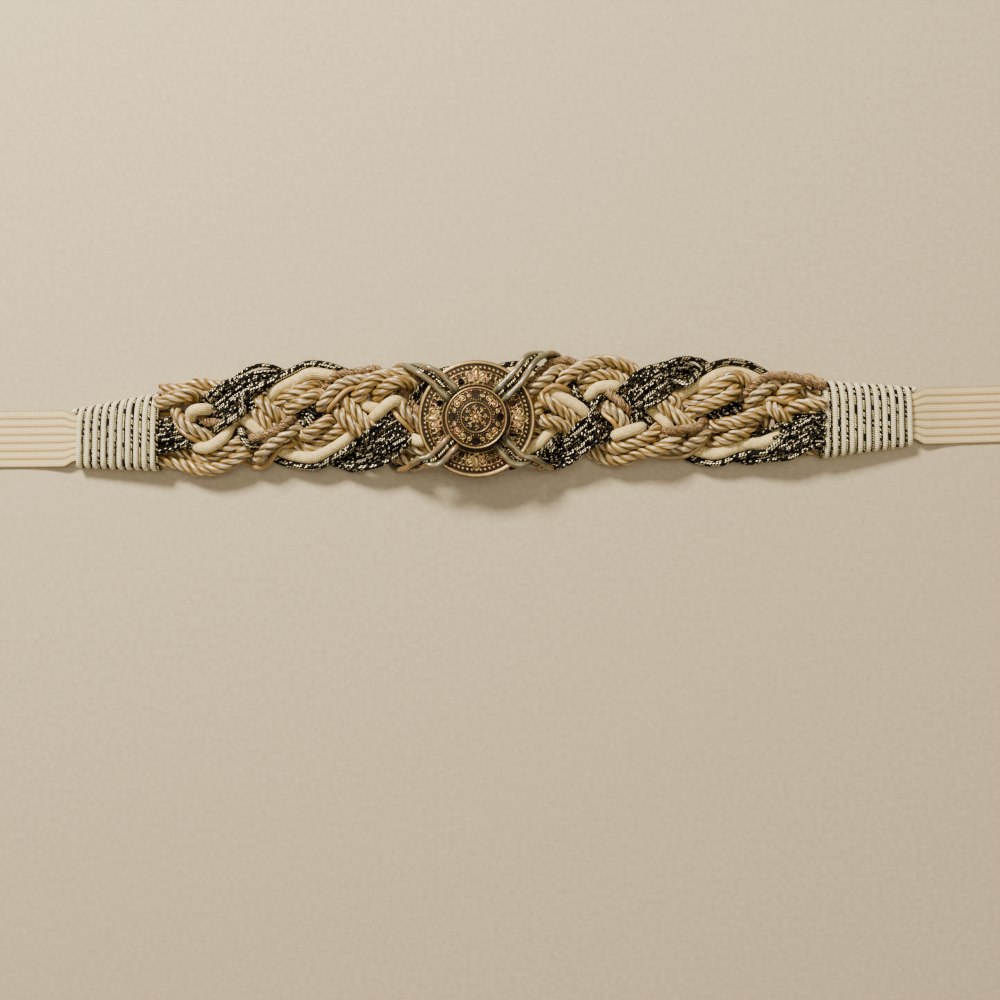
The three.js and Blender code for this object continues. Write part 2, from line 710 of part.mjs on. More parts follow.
// One end of the belt: binding, strap and fitting. side is -1 on the left and +1 on the right.
function endOf(side, name, turns) {
  const mouth = side < 0 ? PLAIT_LEFT : PLAIT_RIGHT;
  const pitch = WIND_CREAM + WIND_LUREX + CLEAR;
  const length = turns * pitch;
  const outer = mouth + side * (length + CLEAR + WIND_CREAM / 2);
  const lift = WIND_CREAM / 2;

  // Half of the path that a winding cord takes round the binding, at a share of its length.
  const halfWidth = (u) => (WIDE.width + (NARROW.width - WIDE.width) * u - WIND_CREAM) / 2;
  const halfHeight = (u) => (WIDE.height + (NARROW.height - WIDE.height) * u - WIND_CREAM) / 2;
  const bend = (v, power) => Math.sign(v) * Math.abs(v) ** power;

  function winding(offset, radius) {
    const corners = turns * WIND_SIDES;
    return Array.from({ length: corners + 1 }, (_, k) => {
      const u = k / corners;
      const turn = (2 * Math.PI * (k + 0.5)) / WIND_SIDES;
      const x = mouth + side * (CLEAR + offset + (length - pitch / 2) * u);
      const inset = WIND_CREAM / 2 - radius;
      const across = (halfWidth(u) + inset) * bend(Math.cos(turn), 0.6);
      const up = (halfHeight(u) + inset) * bend(Math.sin(turn), 0.75);
      return new THREE.Vector3(x, layAt(x) + across, halfHeight(u) + lift + up);
    });
  }
  const lurexStart = WIND_LUREX / 2;
  const creamStart = lurexStart + pitch / 2;
  const creamPath = winding(creamStart, WIND_CREAM / 2);
  const lurexPath = winding(lurexStart, WIND_LUREX / 2);
  place(name + "_binding_cream", tube(creamPath, WIND_CREAM / 2, WIND_CREAM_SIDES), "cream");
  place(name + "_binding_lurex", tube(lurexPath, WIND_LUREX / 2, WIND_LUREX_SIDES), "lurex");

  // The strap: level on the surface, then up into the binding, which gathers it in.
  const tip = side * (side < 0 ? STRAP_TIP - HOOK_REACH : STRAP_TIP);
  const held = { width: 2 * halfWidth(1) - WIND_CREAM - 6 * CLEAR, z: halfHeight(1) + lift };
  const resting = { width: STRAP_WIDTH, z: STRAP_THICK / 2 };
  const inner = outer - side * STRAP_TUCK;
  const stations = [
    { x: inner, ...held },
    { x: outer + side * 2 * CLEAR, ...held },
    { x: outer + side * 4, width: STRAP_WIDTH, z: held.z * 0.75 + resting.z * 0.25 },
    { x: outer + side * STRAP_CLIMB * 0.6, width: STRAP_WIDTH, z: held.z * 0.2 + resting.z * 0.8 },
    { x: outer + side * STRAP_CLIMB, ...resting },
    { x: (outer + tip) / 2, ...resting },
    { x: tip - side * (HEM_LENGTH + 3), ...resting },
    { x: tip - side * (HEM_LENGTH - 2 * HEM_SIDE), width: STRAP_WIDTH, z: resting.z + HEM_SIDE },
  ];
  const rings = stations.map(({ x, width, z }) => strapRing(x, layAt(x), z, width));
  const body = solidOf(skin(rings));
  const barX = tip - side * (HEM_LENGTH / 2);
  const slot = WIRE / 2 + CLEAR;
  const hem = new THREE.BoxGeometry(HEM_LENGTH, STRAP_WIDTH + 2 * HEM_SIDE, HEM_THICK);
  hem.translate(barX, layAt(barX), HEM_THICK / 2);
  const tunnel = new THREE.CylinderGeometry(slot, slot, STRAP_WIDTH + 2, 12);
  tunnel.translate(barX, layAt(barX), HEM_THICK / 2);
  const strap = body.add(solidOf(hem)).subtract(solidOf(tunnel));
  place(name + "_strap", geometryOf(strap), "elastic");

  // A closed wire loop whose near bar runs through the hem.
  const farX = barX + side * LOOP_LENGTH;
  const halfBar = STRAP_WIDTH / 2 + WIRE;
  const corner = 2;
  const y = layAt(barX);
  const outline = [];
  for (const [sx, sy] of [[-1, -1], [1, -1], [1, 1], [-1, 1]]) {
    const cx = (sx < 0 ? barX : farX) - sx * side * corner;
    const cy = y + sy * (halfBar - corner);
    const from = Math.atan2(sy, sx * side);
    for (const step of [-1, 0, 1]) {
      const turn = from + (step * side * Math.PI) / 4;
      outline.push(
        new THREE.Vector3(cx + corner * Math.cos(turn), cy + corner * Math.sin(turn), HEM_THICK / 2),
      );
    }
  }
  const loop = skin(
    outline.map((p, i) => ringAt(p, directionAt(outline, i, true), 8, WIRE / 2)),
    true,
  );
  return { loop, farX, y, side };
}

// Outline of the ribbed strap where it is cut across, from a corner that every other point can see.
function strapRing(x, y, z, width) {
  const low = y - width / 2;
  const under = z - STRAP_THICK / 2;
  const steps = STRAP_RIBS * 2;
  const points = [new THREE.Vector3(x, low, under)];
  for (let k = 0; k <= steps; k++) {
    const rise = k % 2 ? 0 : -RIB_RISE;
    points.push(new THREE.Vector3(x, low + (width * k) / steps, z + STRAP_THICK / 2 + rise));
  }
  points.push(new THREE.Vector3(x, low + width, under));
  return points;
}

const leftEnd = endOf(-1, "left", LEFT_TURNS);
const rightEnd = endOf(1, "right", RIGHT_TURNS);

// The hook: its loop carries a tongue that curls back over itself.
const tongueRoute = [
  { out: 0, up: 0 },
  { out: 0.7, up: 0 },
  { out: 1, up: 0.18 },
  { out: 1, up: 0.38 },
  { out: 0.75, up: 0.55 },
  { out: 0.2, up: 0.55 },
];
const tonguePath = tongueRoute.map(
  ({ out, up }) =>
    new THREE.Vector3(leftEnd.farX - HOOK_REACH * out, leftEnd.y, HEM_THICK / 2 + HOOK_REACH * up),
);
const hook = solidOf(leftEnd.loop).add(solidOf(tube(tonguePath, WIRE / 2, 8)));
place("left_hook", geometryOf(hook), "steel");
place("right_eye", rightEnd.loop, "steel");

// A solid of revolution about Z from an outline of radii and heights.
function turned(outline, segments) {
  const geometry = new THREE.LatheGeometry(outline, segments);
  geometry.rotateX(Math.PI / 2);
  return solidOf(outward(geometry));
}

function dome(radius, flat, x, y, z, detail = 8) {
  const bump = new THREE.SphereGeometry(radius, detail, 3);
  bump.scale(1, 1, flat);
  bump.translate(x, y, z);
  return solidOf(bump);
}

function drill(radius, x, y, z, depth) {
  const hole = new THREE.CylinderGeometry(radius, radius, depth, 6);
  hole.rotateX(Math.PI / 2);
  hole.translate(x, y, z);
  return solidOf(hole);
}

const discProfile = [0, 0.45, 0.8, 0.9, 0.95, 1].map((share) => {
  const rim = share >= 0.95 ? RIM_RISE : 0;
  return { r: DISC_RADIUS * share, top: discTop - dishAt(DISC_RADIUS * share) + rim };
});
const discOutline = [
  ...discProfile.map(({ r, top }) => new THREE.Vector2(r, top)),
  ...[1, 0.9, 0.45, 0].map((share) => {
    const r = DISC_RADIUS * share;
    return new THREE.Vector2(r, seat - dishAt(r));
  }),
];
// The medallion's outer disc: dished, with a rolled rim, leaves cast on it and holes pierced through.
let disc = turned(discOutline, ROUND_SIDES);
for (let k = 0; k < DISC_LEAVES; k++) {
  const turn = (2 * Math.PI * k) / DISC_LEAVES;
  const r = DISC_RADIUS * 0.84;
  disc = disc.add(dome(1.7, 0.5, r * Math.cos(turn), r * Math.sin(turn), discTop - dishAt(r), 5));
}
for (let k = 0; k < DISC_HOLES; k++) {
  const turn = (2 * Math.PI * (k + 0.5)) / DISC_HOLES;
  const r = DISC_RADIUS * 0.68;
  disc = disc.subtract(drill(DISC_HOLE_RADIUS, r * Math.cos(turn), r * Math.sin(turn), discTop, 12));
}
place("medallion_disc", geometryOf(disc.simplify(PRESS_TOLERANCE / 2)), "brass");

// The raised boss over the disc, which covers the ends of the lashing.
const bossSeat = discTop + RIM_RISE + LASH_SATIN + 2 * CLEAR;
const bossTop = (r) => bossSeat + BOSS_THICK + BOSS_CROWN * (1 - (r / BOSS_RADIUS) ** 2);
const bossRows = [0, 0.3, 0.55, 0.62, 0.7, 0.88, 0.94, 1].map((share) => {
  const r = BOSS_RADIUS * share;
  const bead = share === 0.62 || share === 0.94 ? 0.7 : 0;
  return new THREE.Vector2(r, bossTop(r) + bead);
});
const bossOutline = [...bossRows, new THREE.Vector2(BOSS_RADIUS, bossSeat), new THREE.Vector2(0, bossSeat)];
let boss = turned(bossOutline, ROUND_SIDES);
for (let k = 0; k < BOSS_PETALS; k++) {
  const turn = (2 * Math.PI * k) / BOSS_PETALS;
  const r = BOSS_RADIUS * 0.3;
  boss = boss.add(dome(1.4, 0.6, r * Math.cos(turn), r * Math.sin(turn), bossTop(r), 5));
}
for (let k = 0; k < BOSS_HOLES; k++) {
  const turn = (2 * Math.PI * k) / BOSS_HOLES;
  const r = BOSS_RADIUS * 0.79;
  boss = boss.subtract(drill(BOSS_HOLE_RADIUS, r * Math.cos(turn), r * Math.sin(turn), bossSeat, 12));
}
const post = new THREE.CylinderGeometry(3, 3, bossSeat - discTop + 0.4 - CLEAR, 12);
post.rotateX(Math.PI / 2);
post.translate(0, 0, (bossSeat + 0.4 + discTop + CLEAR) / 2);
place("medallion_boss", geometryOf(boss.add(solidOf(post)).simplify(PRESS_TOLERANCE / 2)), "brass");

export default belt;
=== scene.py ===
"""Looks of the rope belt: plaited cords, wound bindings, elastic straps and the cast medallion.

The plait is laid as in the part's source: four groups of cords follow their traced routes and are
then settled, so that every cord lies over or under the ones that it crosses. Lengths that end in
no other unit are millimetres; meshes are made in metres.
"""

import math

import bpy
import numpy as np
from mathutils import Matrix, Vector


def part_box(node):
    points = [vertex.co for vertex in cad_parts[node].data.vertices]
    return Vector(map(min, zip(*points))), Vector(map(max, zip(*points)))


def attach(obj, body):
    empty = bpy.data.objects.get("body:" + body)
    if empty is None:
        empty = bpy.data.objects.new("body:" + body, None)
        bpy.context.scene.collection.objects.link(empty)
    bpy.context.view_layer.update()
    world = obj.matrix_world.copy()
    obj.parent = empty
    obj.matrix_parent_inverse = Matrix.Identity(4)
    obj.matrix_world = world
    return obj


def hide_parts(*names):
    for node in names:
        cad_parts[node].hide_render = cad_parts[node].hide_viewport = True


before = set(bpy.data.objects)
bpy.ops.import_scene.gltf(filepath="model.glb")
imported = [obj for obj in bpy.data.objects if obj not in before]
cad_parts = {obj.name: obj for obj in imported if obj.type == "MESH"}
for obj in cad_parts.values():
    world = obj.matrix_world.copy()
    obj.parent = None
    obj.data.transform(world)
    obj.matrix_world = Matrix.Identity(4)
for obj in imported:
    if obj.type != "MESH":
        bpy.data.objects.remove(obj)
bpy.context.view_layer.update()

MM = 0.001
TURN = 2 * math.pi

# Sizes and routes of the plait, as in the part's source
CLEAR = 0.3
PLAIT_LEFT = -138.5
PLAIT_RIGHT = 150.0
PLAIT_SWING = 17.0
PLAIT_THICK = 14.0
PLAIT_STATIONS = 54
SETTLE_ROUNDS = 400
BUNDLE_WIDTH = 18.0
BUNDLE_THICK = 4.6
CORD_SIZES = {
    "satin": 5.8,
    "tubular": 5.2,
    "lurex": 3.4,
    "copper": 3.6,
    "cream_twist": 5.4,
    "gold": 2.2,
    "bundle": BUNDLE_WIDTH / 3,
}
TIGHT = 0.88
PACKED = 0.92
TURN_STRETCH = 8
LAYER = 3
MIDDLE = 6.2
CORNER = 8
BUNDLE_CORNER = 14
NEIGHBOURS = 5  # how many stations apart two cords can still touch
NEAR = 9  # cords further apart than this are left alone
OVERSHOOT = 1.3
STRAIGHTEN = 0.15
RISE_HOLD = 0.03
BUNDLE_HOLD = 0.2
CORD_HOLD = 0.05
BED_SLOPE = 8  # way along the belt on which the plait rises over the lashing beneath it
LASH_SATIN = 2.6
LASH_LUREX = 1.9
LASH_GAP = 0.45
LASH_BAND = LASH_SATIN * 2 + LASH_LUREX + 2 * LASH_GAP
LASH_AWAY = 36
LASH_FOOT = 11
LASH_LEAN = 0.6
LASH_SINK = 1.3  # how far inwards of its foot a lashing dips into the disc

# Each row of a route: share of the plait's length, share of its swing to the side. The ends are the
# group's heights over the plait's middle at its left and right end.
GROUPS = {
    "tan": {
        "partner": "straw",
        "route": [
            (0, 0.2), (0.091, 0.45), (0.218, -0.62), (0.363, 0.64),
            (0.534, -0.6), (0.675, 1.02), (0.843, -0.53), (1, 0.41),
        ],
        "cords": ["satin", "satin", "tubular", "lurex"],
        "ends": (-4, 0),
    },
    "straw": {
        "partner": "tan",
        "route": [
            (0, -0.5), (0.06, -0.76), (0.233, 0.86), (0.39, -0.55),
            (0.546, 0.9), (0.695, -0.48), (0.878, 1.02), (1, -0.26),
        ],
        "cords": ["lurex", "tubular", "satin", "satin"],
        "ends": (-3, -3),
    },
    "copper": {
        "partner": "black",
        "route": [
            (-0.02, 0.42), (0.13, -0.65), (0.313, 0.94), (0.447, -0.7),
            (0.619, 1.03), (0.756, -0.58), (0.95, 0.75), (1, 0.55),
        ],
        "cords": ["copper", "cream_twist", "gold"],
        "ends": (0, 1),
    },
    "black": {
        "partner": "copper",
        "route": [
            (-0.03, -0.5), (0.175, 0.9), (0.287, -0.8), (0.47, 0.9),
            (0.577, -0.72), (0.811, 1.16), (0.907, -0.7), (1, -0.21),
        ],
        "cords": ["bundle", "bundle", "bundle"],
        "ends": (0, 3.5),
    },
}

PLAIT_LENGTH = PLAIT_RIGHT - PLAIT_LEFT


def middle_of(group, x):
    """Side offset of a group's middle line at places along the plait."""
    along = np.array([row[0] for row in group["route"]]) * PLAIT_LENGTH + PLAIT_LEFT
    side = np.array([row[1] for row in group["route"]]) * PLAIT_SWING
    x = np.clip(x, along[0], along[-1])
    i = np.clip(np.searchsorted(along, x), 1, len(along) - 1)
    share = (x - along[i - 1]) / (along[i] - along[i - 1])
    return side[i - 1] + (side[i] - side[i - 1]) * (1 - np.cos(np.pi * share)) / 2


def height_of(group, x):
    """Rise of a group over the middle of the plait: three crossings to each whole ramp."""
    route = group["route"]
    head, tail = group["ends"]
    first = 0 if route[0][0] < 0 else 1
    last = len(route) - 3
    share = (x - PLAIT_LEFT) / PLAIT_LENGTH
    height = np.where(share < route[first][0], head, tail)
    for k in range(first, last + 1):
        before, after = route[k], route[k + 1]
        s = (share - before[0]) / (after[0] - before[0])
        crest = LAYER if after[1] > before[1] else -LAYER
        enter = head if k == first else 0
        leave = tail if k == last else 0
        wave = crest * np.cos(2 * TURN * (s - 0.25))
        wave = np.where(s < 0.25, enter + (crest - enter) * np.sin(TURN * s), wave)
        wave = np.where(s > 0.75, leave - (crest - leave) * np.sin(TURN * s), wave)
        height = np.where((s >= 0) & (s <= 1), wave, height)
    return height


def lay_cords():
    """The cords as traced: kind, group, offset in the group, points and half of the thickness."""
    cords = []
    x = np.linspace(PLAIT_LEFT, PLAIT_RIGHT, PLAIT_STATIONS)
    for name, group in GROUPS.items():
        middle = middle_of(group, x)
        ahead = middle_of(group, x + TURN_STRETCH)
        behind = middle_of(group, x - TURN_STRETCH)
        lean = np.arctan((ahead - behind) / (2 * TURN_STRETCH))
        widths = [CORD_SIZES[kind] * TIGHT for kind in group["cords"]]
        edge = sum(widths) / 2
        for kind, width in zip(group["cords"], widths):
            offset = edge - width / 2
            edge -= width
            shift = offset * np.sin(lean)
            shift[[0, -1]] = 0
            across = middle + offset * np.cos(lean)
            thick = BUNDLE_THICK if kind == "bundle" else CORD_SIZES[kind]
            cords.append({
                "group": name,
                "kind": kind,
                "offset": offset,
                "points": np.stack([x - shift, across, MIDDLE + height_of(group, x)], 1),
                "half": PACKED * thick / 2,
            })
    return cords


def bed_at(x):
    """Height of what the plait lies on: the surface, or the lashing that passes beneath."""
    off = np.abs(np.abs(x) - LASH_AWAY)
    return np.clip((LASH_BAND / 2 + BED_SLOPE - off) / BED_SLOPE, 0, 1) * (LASH_SATIN + CLEAR)


def segment_pairs(cords):
    """Crossings of traced routes and all other pairs of segments that can touch, as arrays."""
    crossings = []
    pairs = []
    span = np.arange(PLAIT_STATIONS - 1)
    i, j = np.meshgrid(span, span, indexing="ij")
    near = np.abs(i - j) <= NEIGHBOURS
    i, j = i[near], j[near]
    for m, a in enumerate(cords):
        for n in range(m + 1, len(cords)):
            b = cords[n]
            u = (a["points"][i + 1] - a["points"][i])[:, :2]
            v = (b["points"][j + 1] - b["points"][j])[:, :2]
            w = (b["points"][j] - a["points"][i])[:, :2]
            cross = u[:, 0] * v[:, 1] - u[:, 1] * v[:, 0]
            cross = np.where(cross == 0, 1e-12, cross)
            s = (w[:, 0] * v[:, 1] - w[:, 1] * v[:, 0]) / cross
            t = (w[:, 0] * u[:, 1] - w[:, 1] * u[:, 0]) / cross
            corner = BUNDLE_CORNER if "bundle" in (a["kind"], b["kind"]) else CORNER
            inner = a["group"] != b["group"] and abs(a["offset"]) + abs(b["offset"]) <= corner
            met = (s >= 0) & (s < 1) & (t >= 0) & (t < 1) & inner
            order = np.where(cross < 0, 1, -1)
            if GROUPS[a["group"]]["partner"] == b["group"]:
                order = -order
            start_a = m * PLAIT_STATIONS + i
            start_b = n * PLAIT_STATIONS + j
            half = np.full(len(i), a["half"] + b["half"] + CLEAR)
            crossings.append(np.stack([start_a, start_b, s, t, order, half], 1)[met])
            if not (a["kind"] == "bundle" and b["kind"] == "bundle"):
                pairs.append(np.stack([start_a, start_b, half], 1)[~met])
    return np.concatenate(crossings), np.concatenate(pairs)


def nearest(a, b, c, d):
    """Nearest points of two sets of segments, as shares of their lengths."""
    u, v, w = b - a, d - c, a - c
    uu, uv, vv = (u * u).sum(1), (u * v).sum(1), (v * v).sum(1)
    uw, vw = (u * w).sum(1), (v * w).sum(1)
    spread = uu * vv - uv * uv
    s = np.where(spread > 1e-6, np.clip((uv * vw - vv * uw) / np.maximum(spread, 1e-6), 0, 1), 0.5)
    t = np.clip((uv * s + vw) / vv, 0, 1)
    return np.clip((uv * t - uw) / uu, 0, 1), t


def settle(cords):
    """Lays the cords down so that they touch and don't run through each other."""
    crossings, pairs = segment_pairs(cords)
    ca, cb = crossings[:, 0].astype(int), crossings[:, 1].astype(int)
    cs, ct, order, c_half = crossings[:, 2], crossings[:, 3], crossings[:, 4], crossings[:, 5]
    pa, pb, p_half = pairs[:, 0].astype(int), pairs[:, 1].astype(int), pairs[:, 2]
    points = np.concatenate([cord["points"] for cord in cords])
    traced = points.copy()
    half = np.repeat([cord["half"] for cord in cords], PLAIT_STATIONS)
    holds = [BUNDLE_HOLD if cord["kind"] == "bundle" else CORD_HOLD for cord in cords]
    hold = np.repeat(holds, PLAIT_STATIONS)
    ends = np.arange(len(points)) % PLAIT_STATIONS
    first, last = ends == 0, ends == PLAIT_STATIONS - 1
    before = np.where(first, np.arange(len(points)), np.arange(len(points)) - 1)
    after = np.where(last, np.arange(len(points)), np.arange(len(points)) + 1)
    for step in range(SETTLE_ROUNDS):
        ease = 1 - step / SETTLE_ROUNDS
        push = np.zeros_like(points)
        met = np.zeros(len(points))

        def part(a, s, b, t, apart):
            for index, weight in ((a, 1 - s), (a + 1, s), (b, t - 1), (b + 1, -t)):
                np.add.at(push, index, apart * weight[:, None])
                np.add.at(met, index, np.abs(weight))

        z = points[:, 2]
        above = z[ca] * (1 - cs) + z[ca + 1] * cs - z[cb] * (1 - ct) - z[cb + 1] * ct
        short = c_half - order * above
        act = short > 0
        lift = np.zeros((act.sum(), 3))
        lift[:, 2] = (order * short)[act] / 2
        part(ca[act], cs[act], cb[act], ct[act], lift)

        gap = np.abs(points[pa] - points[pb]).max(1)
        close = gap < p_half + NEAR
        qa, qb = pa[close], pb[close]
        s, t = nearest(points[qa], points[qa + 1], points[qb], points[qb + 1])
        on_a = points[qa] + (points[qa + 1] - points[qa]) * s[:, None]
        on_b = points[qb] + (points[qb + 1] - points[qb]) * t[:, None]
        apart = on_a - on_b
        far = np.linalg.norm(apart, axis=1)
        short = p_half[close] - far
        act = short > 0
        unit = apart[act] / np.maximum(far[act], 1e-9)[:, None]
        part(qa[act], s[act], qb[act], t[act], unit * (short[act] / 2)[:, None])

        kept = points.copy()
        points = points + push * (OVERSHOOT / np.maximum(1, met))[:, None]
        points[:, 2] += ease * STRAIGHTEN * ((kept[before, 2] + kept[after, 2]) / 2 - kept[:, 2])
        points[:, 2] += ease * RISE_HOLD * (traced[:, 2] - points[:, 2])
        points[:, :2] += ease * hold[:, None] * (traced[:, :2] - points[:, :2])
        bed = bed_at(points[:, 0])
        points[:, 2] = np.minimum(points[:, 2], PLAIT_THICK + bed - half)
        points[:, 2] = np.maximum(points[:, 2], half + bed)
        points[first | last, 0] = traced[first | last, 0]
    for k, cord in enumerate(cords):
        cord["points"] = points[k * PLAIT_STATIONS:(k + 1) * PLAIT_STATIONS]
    return cords


# Meshes


def new_object(name, points, faces, depths, material):
    """An object of a mesh with smooth faces and the depth of each point, its points in millimetres."""
    mesh = bpy.data.meshes.new(name)
    mesh.from_pydata((points * MM).tolist(), [], faces)
    attribute = mesh.attributes.new("depth", "FLOAT", "POINT")
    attribute.data.foreach_set("value", depths.astype(np.float32))
    mesh.polygons.foreach_set("use_smooth", [True] * len(faces))
    mesh.update()
    made = bpy.data.objects.new(name, mesh)
    bpy.context.scene.collection.objects.link(made)
    made.data.materials.append(material)
    return made


class Build:
    """Gathers strips of points into one mesh, with the lay of each point in a UV map.

    The UV map holds the share of a turn round the strand and the length along it in millimetres.
    """

    def __init__(self):
        self.points = []
        self.faces = []
        self.lays = []
        self.depths = []
        self.count = 0

    def add(self, points, faces, lays, depths):
        self.points.append(points)
        self.faces.append(faces + self.count)
        self.lays.append(lays)
        self.depths.append(depths)
        self.count += len(points)

    def strip(self, rings, along, depth=None):
        """Skins rings of points, shaped (stations, sides, 3), and closes both ends."""
        stations, sides = rings.shape[:2]
        grid = np.arange(stations * sides).reshape(stations, sides)
        a = grid[:-1]
        b = np.roll(grid, -1, 1)[:-1]
        c = np.roll(grid, -1, 1)[1:]
        d = grid[1:]
        faces = np.stack([a, b, c, d], -1).reshape(-1, 4)
        u = np.arange(sides + 1) / sides
        uv = np.zeros((stations - 1, sides, 4, 2))
        uv[..., 0, 0] = uv[..., 3, 0] = u[:-1]
        uv[..., 1, 0] = uv[..., 2, 0] = u[1:]
        uv[..., 0, 1] = uv[..., 1, 1] = along[:-1, None]
        uv[..., 2, 1] = uv[..., 3, 1] = along[1:, None]
        if depth is None:
            depth = np.ones((stations, sides))
        middles = np.stack([rings[0].mean(0), rings[-1].mean(0)])
        points = np.concatenate([rings.reshape(-1, 3), middles])
        depths = np.concatenate([depth.reshape(-1), [depth[0].mean(), depth[-1].mean()]])
        head = np.full(sides, len(points) - 2)
        tail = head + 1
        first = np.stack([np.roll(grid[0], -1), grid[0], head, head], 1)
        final = np.stack([grid[-1], np.roll(grid[-1], -1), tail, tail], 1)
        caps = np.zeros((2 * sides, 4, 2))
        self.add(
            points,
            np.concatenate([faces, first, final]),
            np.concatenate([uv.reshape(-1, 4, 2), caps]),
            depths,
        )

    def object(self, name, material):
        faces = np.concatenate(self.faces)
        lays = np.concatenate(self.lays)
        quad = faces[:, 2] != faces[:, 3]
        listed = [tuple(f) if q else tuple(f[:3]) for f, q in zip(faces.tolist(), quad)]
        points = np.concatenate(self.points)
        made = new_object(name, points, listed, np.concatenate(self.depths), material)
        corners = np.concatenate([lay if q else lay[:3] for lay, q in zip(lays, quad)])
        layer = made.data.uv_layers.new(name="lay")
        layer.data.foreach_set("uv", corners.reshape(-1).astype(np.float32))
        made.data.validate()
        return made


def spline(points, step):
    """A smooth curve through chosen points, with its points a step apart, and the length along it."""
    points = np.asarray(points, float)
    before = 2 * points[0] - points[1]
    after = 2 * points[-1] - points[-2]
    padded = np.concatenate([[before], points, [after]])
    fine = []
    share = np.linspace(0, 1, 12, endpoint=False)[:, None]
    for k in range(1, len(padded) - 2):
        a, b, c, d = padded[k - 1:k + 3]
        fine.append(
            0.5 * (2 * b + (c - a) * share + (2 * a - 5 * b + 4 * c - d) * share**2
                   + (3 * b - a - 3 * c + d) * share**3)
        )
    fine = np.concatenate(fine + [points[-1:]])
    lengths = np.concatenate([[0], np.cumsum(np.linalg.norm(np.diff(fine, axis=0), axis=1))])
    count = max(2, int(round(lengths[-1] / step)) + 1)
    along = np.linspace(0, lengths[-1], count)
    return np.stack([np.interp(along, lengths, fine[:, k]) for k in range(3)], 1), along


def smoothed(values, width):
    """A running mean over a number of stations, which keeps the ends."""
    kernel = np.hanning(width + 2)[1:-1]
    kernel /= kernel.sum()
    reach = width // 2
    padded = np.concatenate([
        2 * values[:1] - values[1:reach + 1][::-1],
        values,
        2 * values[-1:] - values[-reach - 1:-1][::-1],
    ])
    return np.stack([np.convolve(padded[:, k], kernel, "valid") for k in range(values.shape[1])], 1)


def frames_of(path):
    """Side and rise at each point of a path, carried along it without a twist."""
    along = np.gradient(path, axis=0)
    along /= np.linalg.norm(along, axis=1)[:, None]
    side = np.zeros_like(along)
    first = np.array([-along[0, 1], along[0, 0], 0.0])
    if np.linalg.norm(first) < 1e-3:
        first = np.array([0.0, 1.0, 0.0])
    side[0] = first / np.linalg.norm(first)
    for k in range(1, len(path)):
        moved = side[k - 1] - along[k] * (side[k - 1] @ along[k])
        side[k] = moved / np.linalg.norm(moved)
    return side, np.cross(along, side)


def level_frames(path):
    """Side and rise at each point of a path, with its side kept level."""
    along = np.gradient(path, axis=0)
    along /= np.linalg.norm(along, axis=1)[:, None]
    side = np.stack([-along[:, 1], along[:, 0], np.zeros(len(path))], 1)
    side /= np.linalg.norm(side, axis=1)[:, None]
    return side, np.cross(along, side)


def rings_round(path, frames, radius, sides):
    """Rings of points round a path; radius is one number or an array (stations, sides)."""
    side, rise = frames
    angle = np.arange(sides) / sides * TURN
    radius = np.broadcast_to(radius, (len(path), sides))
    across = (radius * np.cos(angle))[..., None] * side[:, None]
    up = (radius * np.sin(angle))[..., None] * rise[:, None]
    return path[:, None] + across + up


PLY_SHARES = {3: 0.52, 4: 0.45}  # a ply's radius as a share of its rope's, by the number of plies
VALLEY = 0.56  # how far out the grooves between the plies and the crests of the plies lie,
CREST = 0.96  # as shares of the rope's radius
TINSEL_THREADS = 11


def wound(path, reach, turn):
    """A path that winds round another, at a reach from it and turned by an angle at each station."""
    side, rise = level_frames(path)
    return path + reach * (np.cos(turn)[:, None] * side + np.sin(turn)[:, None] * rise)


def rope(build, path, along, radius, plies, pitch, strands, sides, groove, seed):
    """A twisted rope: plies wound round each other, each one of strands with grooves between them."""
    rng = np.random.default_rng(seed)
    ply_radius = radius * PLY_SHARES[plies]
    knots = np.arange(0, along[-1] + 40, 14)
    wander = np.interp(along, knots, rng.normal(0, 0.22, len(knots)))
    for ply in range(plies):
        turn = TURN * (along / pitch + ply / plies) + wander
        centre = wound(path, radius - ply_radius, turn)
        angle = np.arange(sides) / sides * TURN
        phase = angle[None] * strands + TURN * along[:, None] / (pitch * 0.55) + rng.uniform(0, TURN)
        lobe = np.abs(np.cos(phase / 2))
        width = ply_radius * (1 - groove + groove * lobe)
        rings = rings_round(centre, level_frames(centre), width, sides)
        out = np.linalg.norm(rings - path[:, None], axis=2) / radius
        # depth runs from 0 in the grooves between the plies and strands to 1 on their crests; the rope
        # finishes turn it into painted shade in the grooves and a painted highlight on the crests
        depth = np.clip((out - VALLEY) / (CREST - VALLEY), 0, 1) * (0.6 + 0.4 * lobe)
        build.strip(rings, along + 1000 * ply, depth)


def tinsel(build, path, along, radius, seed):
    """A loose twist of fine threads round a core, with a ragged outline."""
    rng = np.random.default_rng(seed)
    cord_tube(build, path, along, radius * 0.7, 10)
    for thread in range(TINSEL_THREADS):
        turn = TURN * (along / rng.uniform(6.5, 8.5) + thread / TINSEL_THREADS)
        loose = 1 + 0.14 * np.sin(TURN * along / rng.uniform(3, 7) + rng.uniform(0, TURN))
        reach = (radius * 0.76 * loose)[:, None]
        centre = wound(path, reach, turn)
        cord_tube(build, centre, along + 53 * thread, radius * 0.27, 5)


def cord_tube(build, path, along, radius, sides, level=True):
    """A plain round cord, whose side is kept level, or carried along where the cord turns over."""
    frames = level_frames(path) if level else frames_of(path)
    build.strip(rings_round(path, frames, radius, sides), along)


# Materials


def linear(code):
    """A colour written as hex digits, in linear light."""
    parts = [int(code[k:k + 2], 16) / 255 for k in (1, 3, 5)]
    return tuple([c / 12.92 if c <= 0.04045 else ((c + 0.055) / 1.055) ** 2.4 for c in parts] + [1.0])


